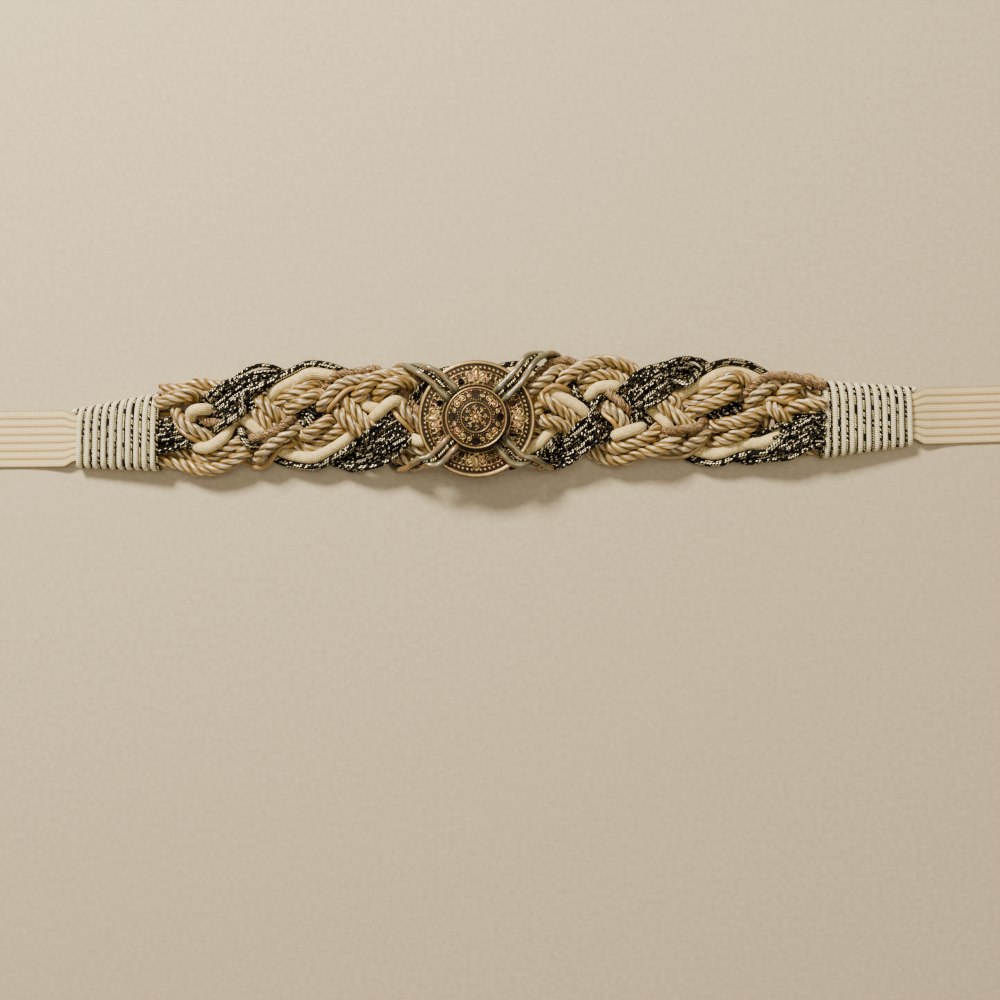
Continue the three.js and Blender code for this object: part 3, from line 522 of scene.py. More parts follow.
class Shader:
    """A node material in the making: each call adds a node and gives its output."""

    def __init__(self, name):
        self.material = bpy.data.materials.new(name)
        self.material.use_nodes = True
        self.tree = self.material.node_tree
        self.surface = self.tree.nodes["Principled BSDF"]

    def feed(self, socket, value):
        if isinstance(value, bpy.types.NodeSocket):
            self.tree.links.new(value, socket)
        else:
            socket.default_value = value

    def node(self, kind, inputs, output=0, **settings):
        made = self.tree.nodes.new(kind)
        for key, value in settings.items():
            setattr(made, key, value)
        for key, value in inputs.items():
            self.feed(made.inputs[key], value)
        return made.outputs[output]

    def math(self, operation, *values):
        return self.node("ShaderNodeMath", dict(enumerate(values)), operation=operation)

    def times(self, a, b):
        return self.math("MULTIPLY", a, b)

    def plus(self, a, b):
        return self.math("ADD", a, b)

    def swing(self, value, amount):
        """A noise's swing to both sides of nothing, by an amount."""
        return self.times(self.math("SUBTRACT", value, 0.5), amount)

    def wave(self, phase):
        """A sine between 0 and 1."""
        return self.plus(self.times(self.math("SINE", phase), 0.5), 0.5)

    def weighed(self, *parts):
        """The sum of values, each times its weight."""
        total = self.times(*parts[0])
        for value, weight in parts[1:]:
            total = self.plus(total, self.times(value, weight))
        return total

    def lay(self):
        """Share of a turn round the strand, and length along it in millimetres."""
        lay = self.node("ShaderNodeUVMap", {}, uv_map="lay")
        u = self.node("ShaderNodeSeparateXYZ", {0: lay}, 0)
        v = self.node("ShaderNodeSeparateXYZ", {0: lay}, 1)
        return u, v

    def attribute(self, name):
        return self.node("ShaderNodeAttribute", {}, 2, attribute_name=name)

    def vector(self, x, y, z=0.0):
        return self.node("ShaderNodeCombineXYZ", {0: x, 1: y, 2: z})

    def place(self):
        return self.node("ShaderNodeTexCoord", {}, 3)

    def noise(self, vector, scale=1.0, detail=2.0, rough=0.5):
        inputs = {"Vector": vector, "Scale": scale, "Detail": detail, "Roughness": rough}
        return self.node("ShaderNodeTexNoise", inputs)

    def streaks(self, cells_round, cells_per_mm, detail=2.0, rough=0.5):
        """Noise drawn out along the strand."""
        u, v = self.lay()
        place = self.vector(self.times(u, cells_round), self.times(v, cells_per_mm))
        return self.noise(place, 1, detail, rough)

    def ramp(self, value, *stops):
        output = self.node("ShaderNodeValToRGB", {0: value})
        ramp = output.node.color_ramp
        while len(ramp.elements) < len(stops):
            ramp.elements.new(0.5)
        for element, (place, code) in zip(ramp.elements, stops):
            element.position = place
            element.color = linear(code)
        return output

    def mix(self, factor, a, b):
        inputs = {0: factor, 6: a, 7: b}
        return self.node("ShaderNodeMix", inputs, 2, data_type="RGBA")

    def between(self, value, low, high, to_low=0.0, to_high=1.0):
        inputs = {0: value, 1: low, 2: high, 3: to_low, 4: to_high}
        return self.node("ShaderNodeMapRange", inputs)

    def bump(self, height, rise):
        """Relief of a height between 0 and 1, which rises by so many millimetres."""
        return self.node("ShaderNodeBump", {"Height": height, "Distance": rise * MM, "Strength": 1.0})

    def stitches(self, columns, pitch, lean=0.0):
        """Columns of stitches round a cord: bulge of each stitch and a random number for it."""
        u, v = self.lay()
        across = self.times(u, columns)
        column = self.math("FLOOR", across)
        in_column = self.math("FRACT", across)
        along = self.math("DIVIDE", v, pitch)
        along = self.plus(along, self.times(column, 0.5))
        along = self.plus(along, self.times(in_column, lean))
        in_row = self.math("FRACT", along)
        bulge = self.times(
            self.math("SINE", self.times(in_column, math.pi)),
            self.math("SINE", self.times(in_row, math.pi)),
        )
        cell = self.vector(column, self.math("FLOOR", along))
        chance = self.node("ShaderNodeTexWhiteNoise", {0: cell}, 0, noise_dimensions="2D")
        return bulge, chance

    def finish(self, **inputs):
        for key, value in inputs.items():
            self.feed(self.surface.inputs[key.replace("_", " ")], value)
        return self.material


def satin_finish(name, stops, filaments):
    """Lustrous rayon: filaments along each ply, with painted shade between the plies and a painted
    highlight on their crests.
    """
    shader = Shader(name)
    fine = shader.streaks(filaments, 0.16)
    broad = shader.streaks(4, 0.07, 1)
    # tone: painted shade in the grooves and a painted highlight on the crests, from each point's depth,
    # with the filaments' own streaks
    tone = shader.weighed((shader.attribute("depth"), 0.62), (fine, 0.36))
    return shader.finish(
        Base_Color=shader.ramp(shader.plus(tone, shader.swing(broad, 0.6)), *stops),
        Roughness=shader.between(fine, 0.3, 0.7, 0.26, 0.42),
        Specular_IOR_Level=0.85,
        Normal=shader.bump(fine, 0.12),
    )


def braid_finish():
    """A tubular braid in one colour, with small stitches: painted shade between them and a painted
    highlight on each.
    """
    shader = Shader("tubular_braid")
    bulge, chance = shader.stitches(18, 0.8)
    tone = shader.weighed((bulge, 0.75), (chance, 0.3))
    return shader.finish(
        Base_Color=shader.ramp(tone, (0.0, "#80601c"), (0.45, "#eccb74"), (1.0, "#fff3c0")),
        Roughness=0.5,
        Sheen_Weight=0.25,
        Normal=shader.bump(bulge, 0.18),
    )


def lurex_finish(name, columns, pitch, lean, thread, share):
    """Black yarn with a metallic thread that shows in short dashes, on a share of the stitches."""
    shader = Shader(name)
    bulge, chance = shader.stitches(columns, pitch, lean)
    shown = shader.math("GREATER_THAN", chance, 1 - share)
    metal = shader.times(shader.between(bulge, 0.38, 0.62), shown)
    tint = shader.mix(chance, linear(thread[0]), linear(thread[1]))
    # The yarn is painted darker at the edges of each stitch: painted shade between the stitches
    yarn = shader.ramp(bulge, (0.0, "#020101"), (1.0, "#120d08"))
    return shader.finish(
        Base_Color=shader.mix(metal, yarn, tint),
        Metallic=shader.times(metal, 0.75),
        Roughness=shader.between(metal, 0, 1, 0.7, 0.3),
        Specular_IOR_Level=shader.between(metal, 0, 1, 0.12, 0.5),
        Normal=shader.bump(bulge, 0.2),
    )


def tinsel_finish():
    """A twist of metallic threads in rose copper, with painted brown shade between the threads and painted
    glints on them.
    """
    shader = Shader("copper_tinsel")
    u, v = shader.lay()
    slant = shader.weighed((u, 6), (v, 1.1))
    threads = shader.noise(shader.vector(shader.times(slant, 3), shader.times(v, 0.5)), 1, 3, 0.6)
    # The darkest stops are painted shade between the threads, the near-white stop painted glints
    stops = (0.36, "#170e05"), (0.46, "#5e4422"), (0.57, "#a98350"), (0.7, "#ffe8c2")
    return shader.finish(
        Base_Color=shader.ramp(threads, *stops),
        Metallic=0.35,
        Roughness=0.42,
        Normal=shader.bump(threads, 0.3),
    )


def ribbed_cord_finish():
    """A cream cord covered by thread that is wound closely round it, with painted shade between the turns
    of the thread and a painted highlight on their tops.
    """
    shader = Shader("cream_winding")
    u, v = shader.lay()
    rib = shader.wave(shader.weighed((v, TURN / 0.85), (u, TURN)))
    tone = shader.weighed((rib, 0.6), (shader.streaks(3, 0.2), 0.4))
    return shader.finish(
        Base_Color=shader.ramp(tone, (0.1, "#9a7a34"), (0.45, "#f8e4a4"), (0.9, "#fffbe6")),
        Roughness=0.6,
        Sheen_Weight=0.3,
        Normal=shader.bump(rib, 0.25),
    )


def lash_finish():
    """Smooth satin cord, olive grey with a warm cast in places."""
    shader = Shader("lash_satin")
    fine = shader.streaks(30, 0.3)
    warm = shader.streaks(1.5, 0.08, 1)
    cool = shader.ramp(fine, (0.3, "#26240f"), (0.7, "#8c8764"))
    gold = shader.ramp(fine, (0.3, "#452f14"), (0.7, "#a87f4f"))
    return shader.finish(
        Base_Color=shader.mix(shader.between(warm, 0.46, 0.66), cool, gold),
        Metallic=0.2,
        Roughness=0.24,
        Specular_IOR_Level=0.9,
        Normal=shader.bump(fine, 0.05),
    )


def elastic_finish():
    """Knitted elastic: fine crosswise stitches, with painted shade in the grooves between the ribs."""
    shader = Shader("elastic")
    u, v = shader.lay()
    rows = shader.wave(shader.times(v, TURN / 0.9))
    columns = shader.wave(shader.times(u, TURN / 0.75))
    knit = shader.times(rows, columns)
    grain = shader.streaks(1.3, 1.3, 4)
    tone = shader.weighed((shader.attribute("depth"), 0.5), (knit, 0.3), (grain, 0.25))
    return shader.finish(
        Base_Color=shader.ramp(tone, (0.15, "#775c2c"), (0.5, "#cbae6e"), (0.9, "#f3e0ac")),
        Roughness=0.85,
        Sheen_Weight=0.3,
        Normal=shader.bump(knit, 0.16),
    )


def brass_finish():
    """Antiqued cast brass: dark in the recesses, copper and gold where it is rubbed."""
    shader = Shader("antique_brass")
    place = shader.place()
    grain = shader.noise(place, 900, 4, 0.6)
    patches = shader.noise(place, 120, 3)
    tone = shader.plus(shader.attribute("depth"), shader.times(grain, 0.5))
    tone = shader.plus(tone, shader.swing(patches, 0.35))
    gold = shader.ramp(tone, (0.15, "#120d05"), (0.36, "#352911"), (0.66, "#655026"), (1.0, "#b5955a"))
    rose = shader.ramp(tone, (0.15, "#120a05"), (0.36, "#392613"), (0.66, "#6c4b2a"), (1.0, "#b88a60"))
    return shader.finish(
        Base_Color=shader.mix(shader.between(patches, 0.45, 0.62), gold, rose),
        Metallic=0.7,
        Roughness=shader.between(tone, 0.1, 0.9, 0.55, 0.3),
        Normal=shader.bump(grain, 0.06),
    )


def steel_finish():
    """Bent wire, nickel grey with fine drawing marks."""
    shader = Shader("nickel_wire")
    place = shader.place()
    marks = shader.noise(place, 2200, 3)
    return shader.finish(
        Base_Color=shader.ramp(shader.noise(place, 180, 2), (0.3, "#6f6a60"), (0.7, "#a9a397")),
        Metallic=0.95,
        Roughness=shader.between(marks, 0.3, 0.7, 0.25, 0.42),
        Normal=shader.bump(marks, 0.02),
    )


# Ramps of the satin finishes: where a cord has plies, the darkest stops are painted shade in the grooves
# between them and the lightest a painted highlight on their crests
GOLD_STOPS = ((0.1, "#120c03"), (0.42, "#4a360f"), (0.68, "#957332"), (0.92, "#f5e3b0"))
CREAM_STOPS = ((0.1, "#181006"), (0.42, "#544020"), (0.68, "#987d4c"), (0.92, "#eedba8"))
OLD_GOLD_STOPS = ((0.2, "#2e1f06"), (0.6, "#6b4d18"), (0.95, "#b8914c"))

finishes = {
    "satin": satin_finish("satin_rope", GOLD_STOPS, 26),
    "tubular": braid_finish(),
    "lurex": lurex_finish("lurex_braid", 9, 1.3, 1.0, ("#8c7840", "#fbedbe"), 0.55),
    "lurex_thin": lurex_finish("lurex_cords", 6, 1.05, 0.6, ("#96803f", "#fff1c4"), 0.5),
    "lurex_wind": lurex_finish("lurex_winding", 3, 1.05, 1.0, ("#96803f", "#f7e6b0"), 0.7),
    "copper": tinsel_finish(),
    "cream_twist": satin_finish("cream_rope", CREAM_STOPS, 20),
    "cream_wind": ribbed_cord_finish(),
    "gold": satin_finish("gold_cord", OLD_GOLD_STOPS, 12),
    "lash": lash_finish(),
    "elastic": elastic_finish(),
    "brass": brass_finish(),
    "steel": steel_finish(),
}


def belongs(piece, slot, *nodes):
    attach(piece, "root")
    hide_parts(*nodes)


# The plait


CORD_NODES = {
    "satin": "satin_cord",
    "tubular": "tubular_cord",
    "lurex": "lurex_cord",
    "copper": "copper_twist",
    "cream_twist": "cream_twist",
    "gold": "gold_cord",
}
INTO_BINDING = 3.0  # how far the cords run on inside the binding
STEP = 0.65  # way between two stations of a cord
TINSEL_STEP = 0.9


def run_on(points):
    """The cord's points with its ends run on into the bindings."""
    beyond = np.array([INTO_BINDING, 0, 0])
    return np.concatenate([[points[0] - beyond], points, [points[-1] + beyond]])


def make_round_cord(cord, number):
    kind = cord["kind"]
    path, along = spline(run_on(cord["points"]), TINSEL_STEP if kind == "copper" else STEP)
    path = smoothed(path, 9)
    radius = CORD_SIZES[kind] / 2
    build = Build()
    if kind == "satin":
        rope(build, path, along, radius * 1.08, 4, 17, strands=4, sides=14, groove=0.12, seed=number)
    elif kind == "cream_twist":
        rope(build, path, along, radius * 1.02, 3, 13, strands=4, sides=16, groove=0.1, seed=number)
    elif kind == "copper":
        tinsel(build, path, along, radius * 1.1, number)
    else:
        cord_tube(build, path, along, radius, 10 if kind == "gold" else 16)
    node = "_".join([cord["group"], "group", CORD_NODES[kind]])
    piece = build.object("_".join([cord["group"], kind, str(number)]), finishes[kind])
    slot = "cream" if kind == "cream_twist" else kind
    belongs(piece, slot, node + "_" + str(number) if kind == "satin" else node)


def make_plait(cords):
    counts = {}
    for cord in sorted((c for c in cords if c["kind"] != "bundle"), key=lambda c: c["half"]):
        key = cord["group"] + cord["kind"]
        counts[key] = counts.get(key, 0) + 1
        make_round_cord(cord, counts[key])


BUNDLE_COUNT = 14
BUNDLE_CORD = 2.1
BUNDLE_STEP = 1.2
BUNDLE_LEVEL = 0.4  # share of its sideways tilt that the bundle keeps
BUNDLE_LAYER = 0.95  # height of the two layers over and under the bundle's middle
BUNDLE_BULGE = 0.7
SWING = (1.25, 26, 52)  # how far a cord wanders sideways, and the least and most length of a swing
LIFT = (0.45, 24, 44)  # and up and down


def make_bundle(cords):
    """Thin black cords side by side in two loose layers, each wandering a little among the others."""
    rng = np.random.default_rng(11)
    paths = [spline(run_on(c["points"]), BUNDLE_STEP)[0] for c in cords if c["kind"] == "bundle"]
    share = np.linspace(0, 1, min(len(p) for p in paths))
    top, middle, low = [
        np.stack([np.interp(share, np.linspace(0, 1, len(p)), p[:, k]) for k in range(3)], 1) for p in paths
    ]
    centre = smoothed((top + middle + low) / 3, 9)
    across = smoothed(top - low, 9)
    across[:, 2] *= BUNDLE_LEVEL
    across /= np.linalg.norm(across, axis=1)[:, None]
    length = np.concatenate([[0], np.cumsum(np.linalg.norm(np.diff(centre, axis=0), axis=1))])

    def wander(amount, least, most):
        return amount * np.sin(TURN * length / rng.uniform(least, most) + rng.uniform(0, TURN))

    build = Build()
    for k in range(BUNDLE_COUNT):
        column = (k // 2 + 0.25 + 0.5 * (k % 2)) / (BUNDLE_COUNT / 2)
        layer = BUNDLE_LAYER if k % 2 else -BUNDLE_LAYER
        side = (0.5 - column) * (BUNDLE_WIDTH - BUNDLE_CORD) + wander(*SWING)
        path = centre + side[:, None] * across
        path[:, 2] += layer + wander(*LIFT) + BUNDLE_BULGE * (1 - (2 * column - 1) ** 2)
        cord_tube(build, smoothed(path, 5), length + 37 * k, BUNDLE_CORD / 2, 8)
    belongs(build.object("black_cords", finishes["lurex_thin"]), "lurex", "black_bundle")


cords = settle(lay_cords())
make_plait(cords)
make_bundle(cords)


# Bindings and straps


STRAP_WIDTH = 25.4
STRAP_THICK = 1.2
STRAP_RIBS = 7
RIB_POINTS = 8  # points across one rib
RIB_RISE = 0.25
STRAP_TIP = 352
STRAP_CLIMB = 22  # way on which the strap comes down from its binding
STRAP_HELD = 20  # its length inside the binding
LEFT_TURNS = 10
RIGHT_TURNS = 11
WIND_CREAM = 2.3
WIND_LUREX = 1.4
WIND_PITCH = WIND_CREAM + WIND_LUREX + CLEAR
WIND_STEPS = 64  # points in one turn of a winding
NARROW = (26.6, 7)  # width and height of a binding at the strap
WIDE = (34.8, 12)  # and at the plait
HEM_LENGTH = 7
HEM_SIDE = 0.3
HEM_THICK = 4.6
HEM_STATIONS = 28
FLOOR_GAP = 0.02
LOOP_LENGTH = 14
HOOK_REACH = 9
# Side offset of the belt's middle outside the plait: place along, place across.
LAY = [
    (-STRAP_TIP - LOOP_LENGTH, -13), (-214, -8), (-180, -7.7), (PLAIT_LEFT, -4.9),
    (PLAIT_RIGHT, 0.4), (194, 2.1), (235, 3.4), (STRAP_TIP + LOOP_LENGTH, 6),
]


def lay_at(x):
    return np.interp(x, [row[0] for row in LAY], [row[1] for row in LAY])


def bend(v, power):
    """Bends a sine or cosine so that it makes a rounded box instead of a circle."""
    return np.sign(v) * np.abs(v) ** power


def winding(side, turns, start, radius):
    """The path of a cord wound round the end of the plait, from the plait outwards."""
    mouth = PLAIT_LEFT if side < 0 else PLAIT_RIGHT
    k = np.arange(0, turns * WIND_STEPS + 1, 2)
    share = k / (turns * WIND_STEPS)
    half_width, half_height = [
        (wide + (narrow - wide) * share - WIND_CREAM) / 2 for narrow, wide in zip(NARROW, WIDE)
    ]
    turn = TURN * (k / WIND_STEPS + 0.05)
    inset = WIND_CREAM / 2 - radius
    x = mouth + side * (CLEAR + start + (turns - 0.5) * WIND_PITCH * share)
    y = lay_at(x) + (half_width + inset) * bend(np.cos(turn), 0.6)
    z = half_height + WIND_CREAM / 2 + (half_height + inset) * bend(np.sin(turn), 0.75)
    return spline(np.stack([x, y, z], 1), 1.1)


def make_binding(side, name, turns):
    """The two cords of a binding, wound side by side. Gives the place where the binding ends."""
    for finish, start, thick, slot in (
        ("cream_wind", (WIND_LUREX + WIND_PITCH) / 2, WIND_CREAM, "cream"),
        ("lurex_wind", WIND_LUREX / 2, WIND_LUREX, "lurex"),
    ):
        path, along = winding(side, turns, start, thick / 2)
        build = Build()
        cord_tube(build, path, along, thick / 2 * 1.03, 10, level=False)
        node = name + "_binding_" + slot
        belongs(build.object(node + "_cord", finishes[finish]), slot, node)
    mouth = PLAIT_LEFT if side < 0 else PLAIT_RIGHT
    return mouth + side * (turns * WIND_PITCH + CLEAR + WIND_CREAM / 2)


def make_strap(side, name, outer):
    """Elastic with lengthwise ribs, level on the surface and gathered into its binding."""
    tip = side * (STRAP_TIP - HOOK_REACH if side < 0 else STRAP_TIP)
    held_width = NARROW[0] - 2 * WIND_CREAM - 6 * CLEAR
    held_z = NARROW[1] / 2
    resting = STRAP_THICK / 2
    # Place along the belt, width, height of the strap's middle
    stations = [
        (outer - side * STRAP_HELD, held_width, held_z),
        (outer + side * 2 * CLEAR, held_width, held_z),
        (outer + side * 4, STRAP_WIDTH, held_z * 0.75 + resting * 0.25),
        (outer + side * STRAP_CLIMB * 0.6, STRAP_WIDTH, held_z * 0.2 + resting * 0.8),
        (outer + side * STRAP_CLIMB, STRAP_WIDTH, resting),
        (tip - side * HEM_LENGTH, STRAP_WIDTH, resting),
    ]
    table = np.array(stations) * [side, 1, 1]
    x = np.arange(table[0, 0], table[-1, 0], 1.5)
    width = smoothed(np.interp(x, table[:, 0], table[:, 1])[:, None], 3)
    z = smoothed(np.interp(x, table[:, 0], table[:, 2])[:, None], 5)
    across = np.linspace(-0.5, 0.5, STRAP_RIBS * RIB_POINTS + 1)
    rib = np.abs(np.sin(np.pi * STRAP_RIBS * (across + 0.5)))
    rise = STRAP_THICK / 2 - RIB_RISE + RIB_RISE * rib ** 0.7
    across = np.concatenate([across, across[::-1]])
    rise = np.concatenate([rise, -rise[::-1]])
    shade = np.concatenate([rib, rib[::-1]]) ** 0.6
    rings = np.zeros((len(x), len(across), 3))
    rings[..., 0] = side * x[:, None]
    rings[..., 1] = lay_at(side * x)[:, None] + across * width
    rings[..., 2] = np.maximum(z + rise, FLOOR_GAP)
    if side < 0:
        rings = rings[:, ::-1]
        shade = shade[::-1]
    build = Build()
    build.strip(rings, x, np.broadcast_to(shade, rings.shape[:2]))
    add_hem(build, side, tip)
    piece = build.object(name + "_elastic", finishes["elastic"])
    spread_lay(piece)
    belongs(piece, "elastic", name + "_strap")


def add_hem(build, side, tip):
    """The strap's end, folded back on itself round the bar and stitched down."""
    bar = tip - side * HEM_LENGTH / 2
    turn = np.linspace(0, TURN, HEM_STATIONS, endpoint=False)
    across = np.linspace(-0.5, 0.5, STRAP_RIBS * RIB_POINTS + 1)
    rib = np.abs(np.sin(np.pi * STRAP_RIBS * (across + 0.5))) ** 0.7
    wide = STRAP_WIDTH + 2 * HEM_SIDE
    half_thick = HEM_THICK / 2
    rings = np.zeros((len(across), len(turn), 3))
    rings[..., 0] = bar + (HEM_LENGTH / 2 + 0.1) * bend(np.cos(turn), 0.7)
    rings[..., 1] = lay_at(bar) + across[:, None] * wide
    rings[..., 2] = half_thick + half_thick * bend(np.sin(turn), 0.6) * (0.93 + 0.07 * rib[:, None])
    # The ribs also go in as each point's depth: painted shade in the grooves between the ribs of the hem
    build.strip(rings, across * wide, np.broadcast_to(rib[:, None], rings.shape[:2]))


def spread_lay(piece):
    """Puts the strap's own width and length, in millimetres, in its lay."""
    mesh = piece.data
    corners = np.zeros(len(mesh.loops), np.int32)
    mesh.loops.foreach_get("vertex_index", corners)
    points = np.zeros(len(mesh.vertices) * 3)
    mesh.vertices.foreach_get("co", points)
    places = points.reshape(-1, 3)[corners] / MM
    lay = np.stack([places[:, 1] - lay_at(places[:, 0]), places[:, 0]], 1)
    mesh.uv_layers["lay"].data.foreach_set("uv", lay.reshape(-1).astype(np.float32))


for side, name, turns in ((-1, "left", LEFT_TURNS), (1, "right", RIGHT_TURNS)):
    make_strap(side, name, make_binding(side, name, turns))


# The lashing


def edges_at(x, reach):
    """The plait's lowest and highest side offset near a place along it."""
    near = [(p[1], cord["half"]) for cord in cords for p in cord["points"] if abs(p[0] - x) < reach]
    return min(y - half for y, half in near), max(y + half for y, half in near)


DISC_RADIUS = 25.5
DISC_THICK = 1.2
DISC_DISH = 1.8
RIM_RISE = 0.5
disc_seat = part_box("medallion_disc")[0].z / MM + DISC_DISH
disc_top = disc_seat + DISC_THICK


def dish_at(r):
    return DISC_DISH * (r / DISC_RADIUS) ** 2


def lash_path(side, rank):
    """One lashing cord: up through the disc, over its rim, round the plait's edge and beneath it."""
    shift = rank * ((LASH_SATIN + LASH_LUREX) / 2 + LASH_GAP)
    radius = (LASH_LUREX if rank == 0 else LASH_SATIN) / 2
    low, high = edges_at(side * LASH_AWAY, LASH_BAND)
    slant = shift * math.sqrt(0.5)
    rim = DISC_RADIUS * math.sqrt(0.5)
    sunk = LASH_FOOT - LASH_SINK

    def on_disc(r):
        return disc_top - dish_at(r) + RIM_RISE + radius + CLEAR

    # Shares of LASH_AWAY along the belt and of the half width across it, how far aslant, height
    turn = (
        (0.65, 0.87, 1, on_disc(DISC_RADIUS) - LASH_SATIN * 0.2),
        (0.79, 0.98, 0, disc_seat * 0.66),
        (0.89, 1, 0, disc_seat * 0.4),
        (0.96, 0.95, 0, radius + LASH_SATIN * 0.45),
        (1, 0.82, 0, radius),
    )

    def half(sign, edge):
        out = abs(edge) + radius + CLEAR
        rows = [
            (sunk + slant, sunk - slant, disc_top - 1.6),
            (LASH_FOOT + slant, LASH_FOOT - slant, on_disc(LASH_FOOT * math.sqrt(2)) - 0.5),
            (rim + slant, rim - slant, on_disc(DISC_RADIUS)),
        ]
        for away, across, aslant, z in turn:
            x = LASH_AWAY * away + shift * (1 - aslant) + slant * aslant
            rows.append((x, out * across - slant * aslant * LASH_LEAN, z))
        return [(side * x, sign * y, z) for x, y, z in rows]

    return half(1, high) + [(side * (LASH_AWAY + shift), 0, radius)] + half(-1, low)[::-1]


def make_lashing(side, name):
    for rank, part in ((-1, "inner_satin"), (0, "lurex"), (1, "outer_satin")):
        path, along = spline(lash_path(side, rank), 0.8)
        radius, finish, slot = (
            (LASH_LUREX / 2, "lurex_wind", "lurex") if rank == 0 else (LASH_SATIN / 2, "lash", "lash")
        )
        build = Build()
        cord_tube(build, smoothed(path, 7), along, radius, 14, level=False)
        piece = build.object("_".join(["lash", name, part]), finishes[finish])
        belongs(piece, slot, "_".join(["lashing", name, part]))


make_lashing(-1, "left")
make_lashing(1, "right")


# The medallion


SHADE_RISE = 0.75  # relief that is rubbed fully bright


def dome(u, v=0):
    """A rounded rise: 1 in its middle, 0 where the two shares of its half widths reach its edge."""
    return np.sqrt(np.clip(1 - u ** 2 - v ** 2, 0, 1))


def stroke(x, y, points, width):
    """A rounded ridge along a run of points."""
    best = np.full(x.shape, np.inf)
    for (ax, ay), (bx, by) in zip(points[:-1], points[1:]):
        ux, uy = bx - ax, by - ay
        t = np.clip(((x - ax) * ux + (y - ay) * uy) / (ux * ux + uy * uy), 0, 1)
        best = np.minimum(best, np.hypot(x - ax - t * ux, y - ay - t * uy))
    return dome(best / width)


def scroll(cx, cy, radius, turns, start, sense):
    """Points of a spiral that winds in to its centre."""
    share = np.linspace(0, 1, 26)
    angle = start + sense * TURN * turns * share
    reach = radius * (1 - 0.8 * share)
    return list(zip(cx + reach * np.cos(angle), cy + reach * np.sin(angle)))


def folded(x, y, copies, turned):
    """Coordinates in one of a number of equal sectors, out from the middle and across it."""
    r = np.hypot(x, y)
    sector = TURN / copies
    angle = np.arctan2(y, x) - turned * sector
    angle = (angle + sector / 2) % sector - sector / 2
    return r * np.cos(angle), r * np.sin(angle)


# Rings: radius, half width, rise. Fields: copies round the middle, how much of a sector they are turned
# by, mirrored or not, ridges as points, half width and rise, beads as place out and across, radius, rise.
DISC_RINGS = ((24.7, 0.85, 0.55), (20.9, 0.28, 0.3), (14.9, 0.45, 0.35))
DISC_FIELDS = (
    (72, 0, False, (), ((22.4, 0, 0.72, 0.5),)),
    (
        8, 0, True,
        (
            (scroll(18.9, 3.1, 1.75, 1.35, -1.2, 1), 0.42, 0.55),
            (scroll(16.6, 2.5, 1.15, 1.2, 2.4, -1), 0.36, 0.5),
            ([(15.4, 0.9), (16.6, 1.1), (17.9, 1.0), (19.4, 1.3)], 0.36, 0.45),
            ([(19.9, 5.2), (20.1, 6.2), (19.3, 7.1)], 0.36, 0.45),
        ),
        (
            (18.9, 3.1, 0.62, 0.75), (16.6, 2.5, 0.45, 0.65), (15.8, 4.3, 0.4, 0.45),
            (19.9, 1.6, 0.34, 0.4), (17.2, 5.6, 0.5, 0.5), (18.3, 6.3, 0.42, 0.45),
        ),
    ),
    (
        16, 0.5, True,
        (
            (scroll(17.9, 1.7, 1.25, 1.3, 0.8, 1), 0.34, 0.5),
            ([(15.4, 0), (16.4, 0.35), (17.2, 0)], 0.3, 0.4),
        ),
        ((19.6, 0.9, 0.4, 0.5), (19.7, 2.6, 0.42, 0.5), (18.7, 0, 0.4, 0.5), (16.0, 1.6, 0.4, 0.5)),
    ),
    (4, 0.5, False, (), ((19.6, 0, 0.55, 0.7), (18.5, 0.75, 0.55, 0.7), (18.5, -0.75, 0.55, 0.7))),
)
BOSS_RINGS = ((12.9, 0.42, 0.7), (6.4, 0.36, 0.45), (11.9, 0.25, 0.25))
BOSS_FIELDS = (
    (40, 0, False, (), ((7.4, 0, 0.34, 0.25),)),
    (
        4, 0.5, True,
        (
            (scroll(9.6, 1.7, 1.5, 1.4, -0.8, 1), 0.36, 0.6),
            (scroll(8.6, 4.3, 1.05, 1.2, 2.6, -1), 0.32, 0.5),
            ([(7.8, 0.5), (9.2, 0.35), (10.8, 0.6), (11.5, 1.5)], 0.3, 0.45),
        ),
        ((9.6, 1.7, 0.5, 0.7), (8.6, 4.3, 0.4, 0.7), (11.1, 3.4, 0.4, 0.7), (10.9, 0, 0.42, 0.7)),
    ),
    (
        4, 0, True, (),
        (
            (7.9, 2.0, 0.4, 0.55), (8.7, 2.7, 0.42, 0.55), (10.6, 3.9, 0.45, 0.55),
            (11.5, 1.9, 0.4, 0.55), (7.8, 1.1, 0.32, 0.55),
        ),
    ),
    (
        8, 0, False,
        (
            (scroll(4.1, 0.9, 0.85, 1.2, -2.6, 1), 0.26, 0.5),
            ([(1.4, 0), (2.4, 0.25), (3.2, 0.1), (4.3, -0.6)], 0.26, 0.45),
        ),
        ((5.3, 0, 0.4, 0.6),),
    ),
    (1, 0, False, (), ((0, 0, 1.15, 0.95),)),
)


def ornament(x, y, rings, fields):
    """Height of the rings, ridges and beads of one casting, in millimetres."""
    r = np.hypot(x, y)
    heights = [rise * dome((r - at) / width) for at, width, rise in rings]
    for copies, turned, mirrored, ridges, beads in fields:
        out, across = folded(x, y, copies, turned)
        if mirrored:
            across = np.abs(across)
        for points, width, rise in ridges:
            heights.append(rise * stroke(out, across, points, width))
        for away, aside, radius, rise in beads:
            heights.append(rise * dome((out - away) / radius, (across - aside) / radius))
    return np.maximum.reduce(heights)


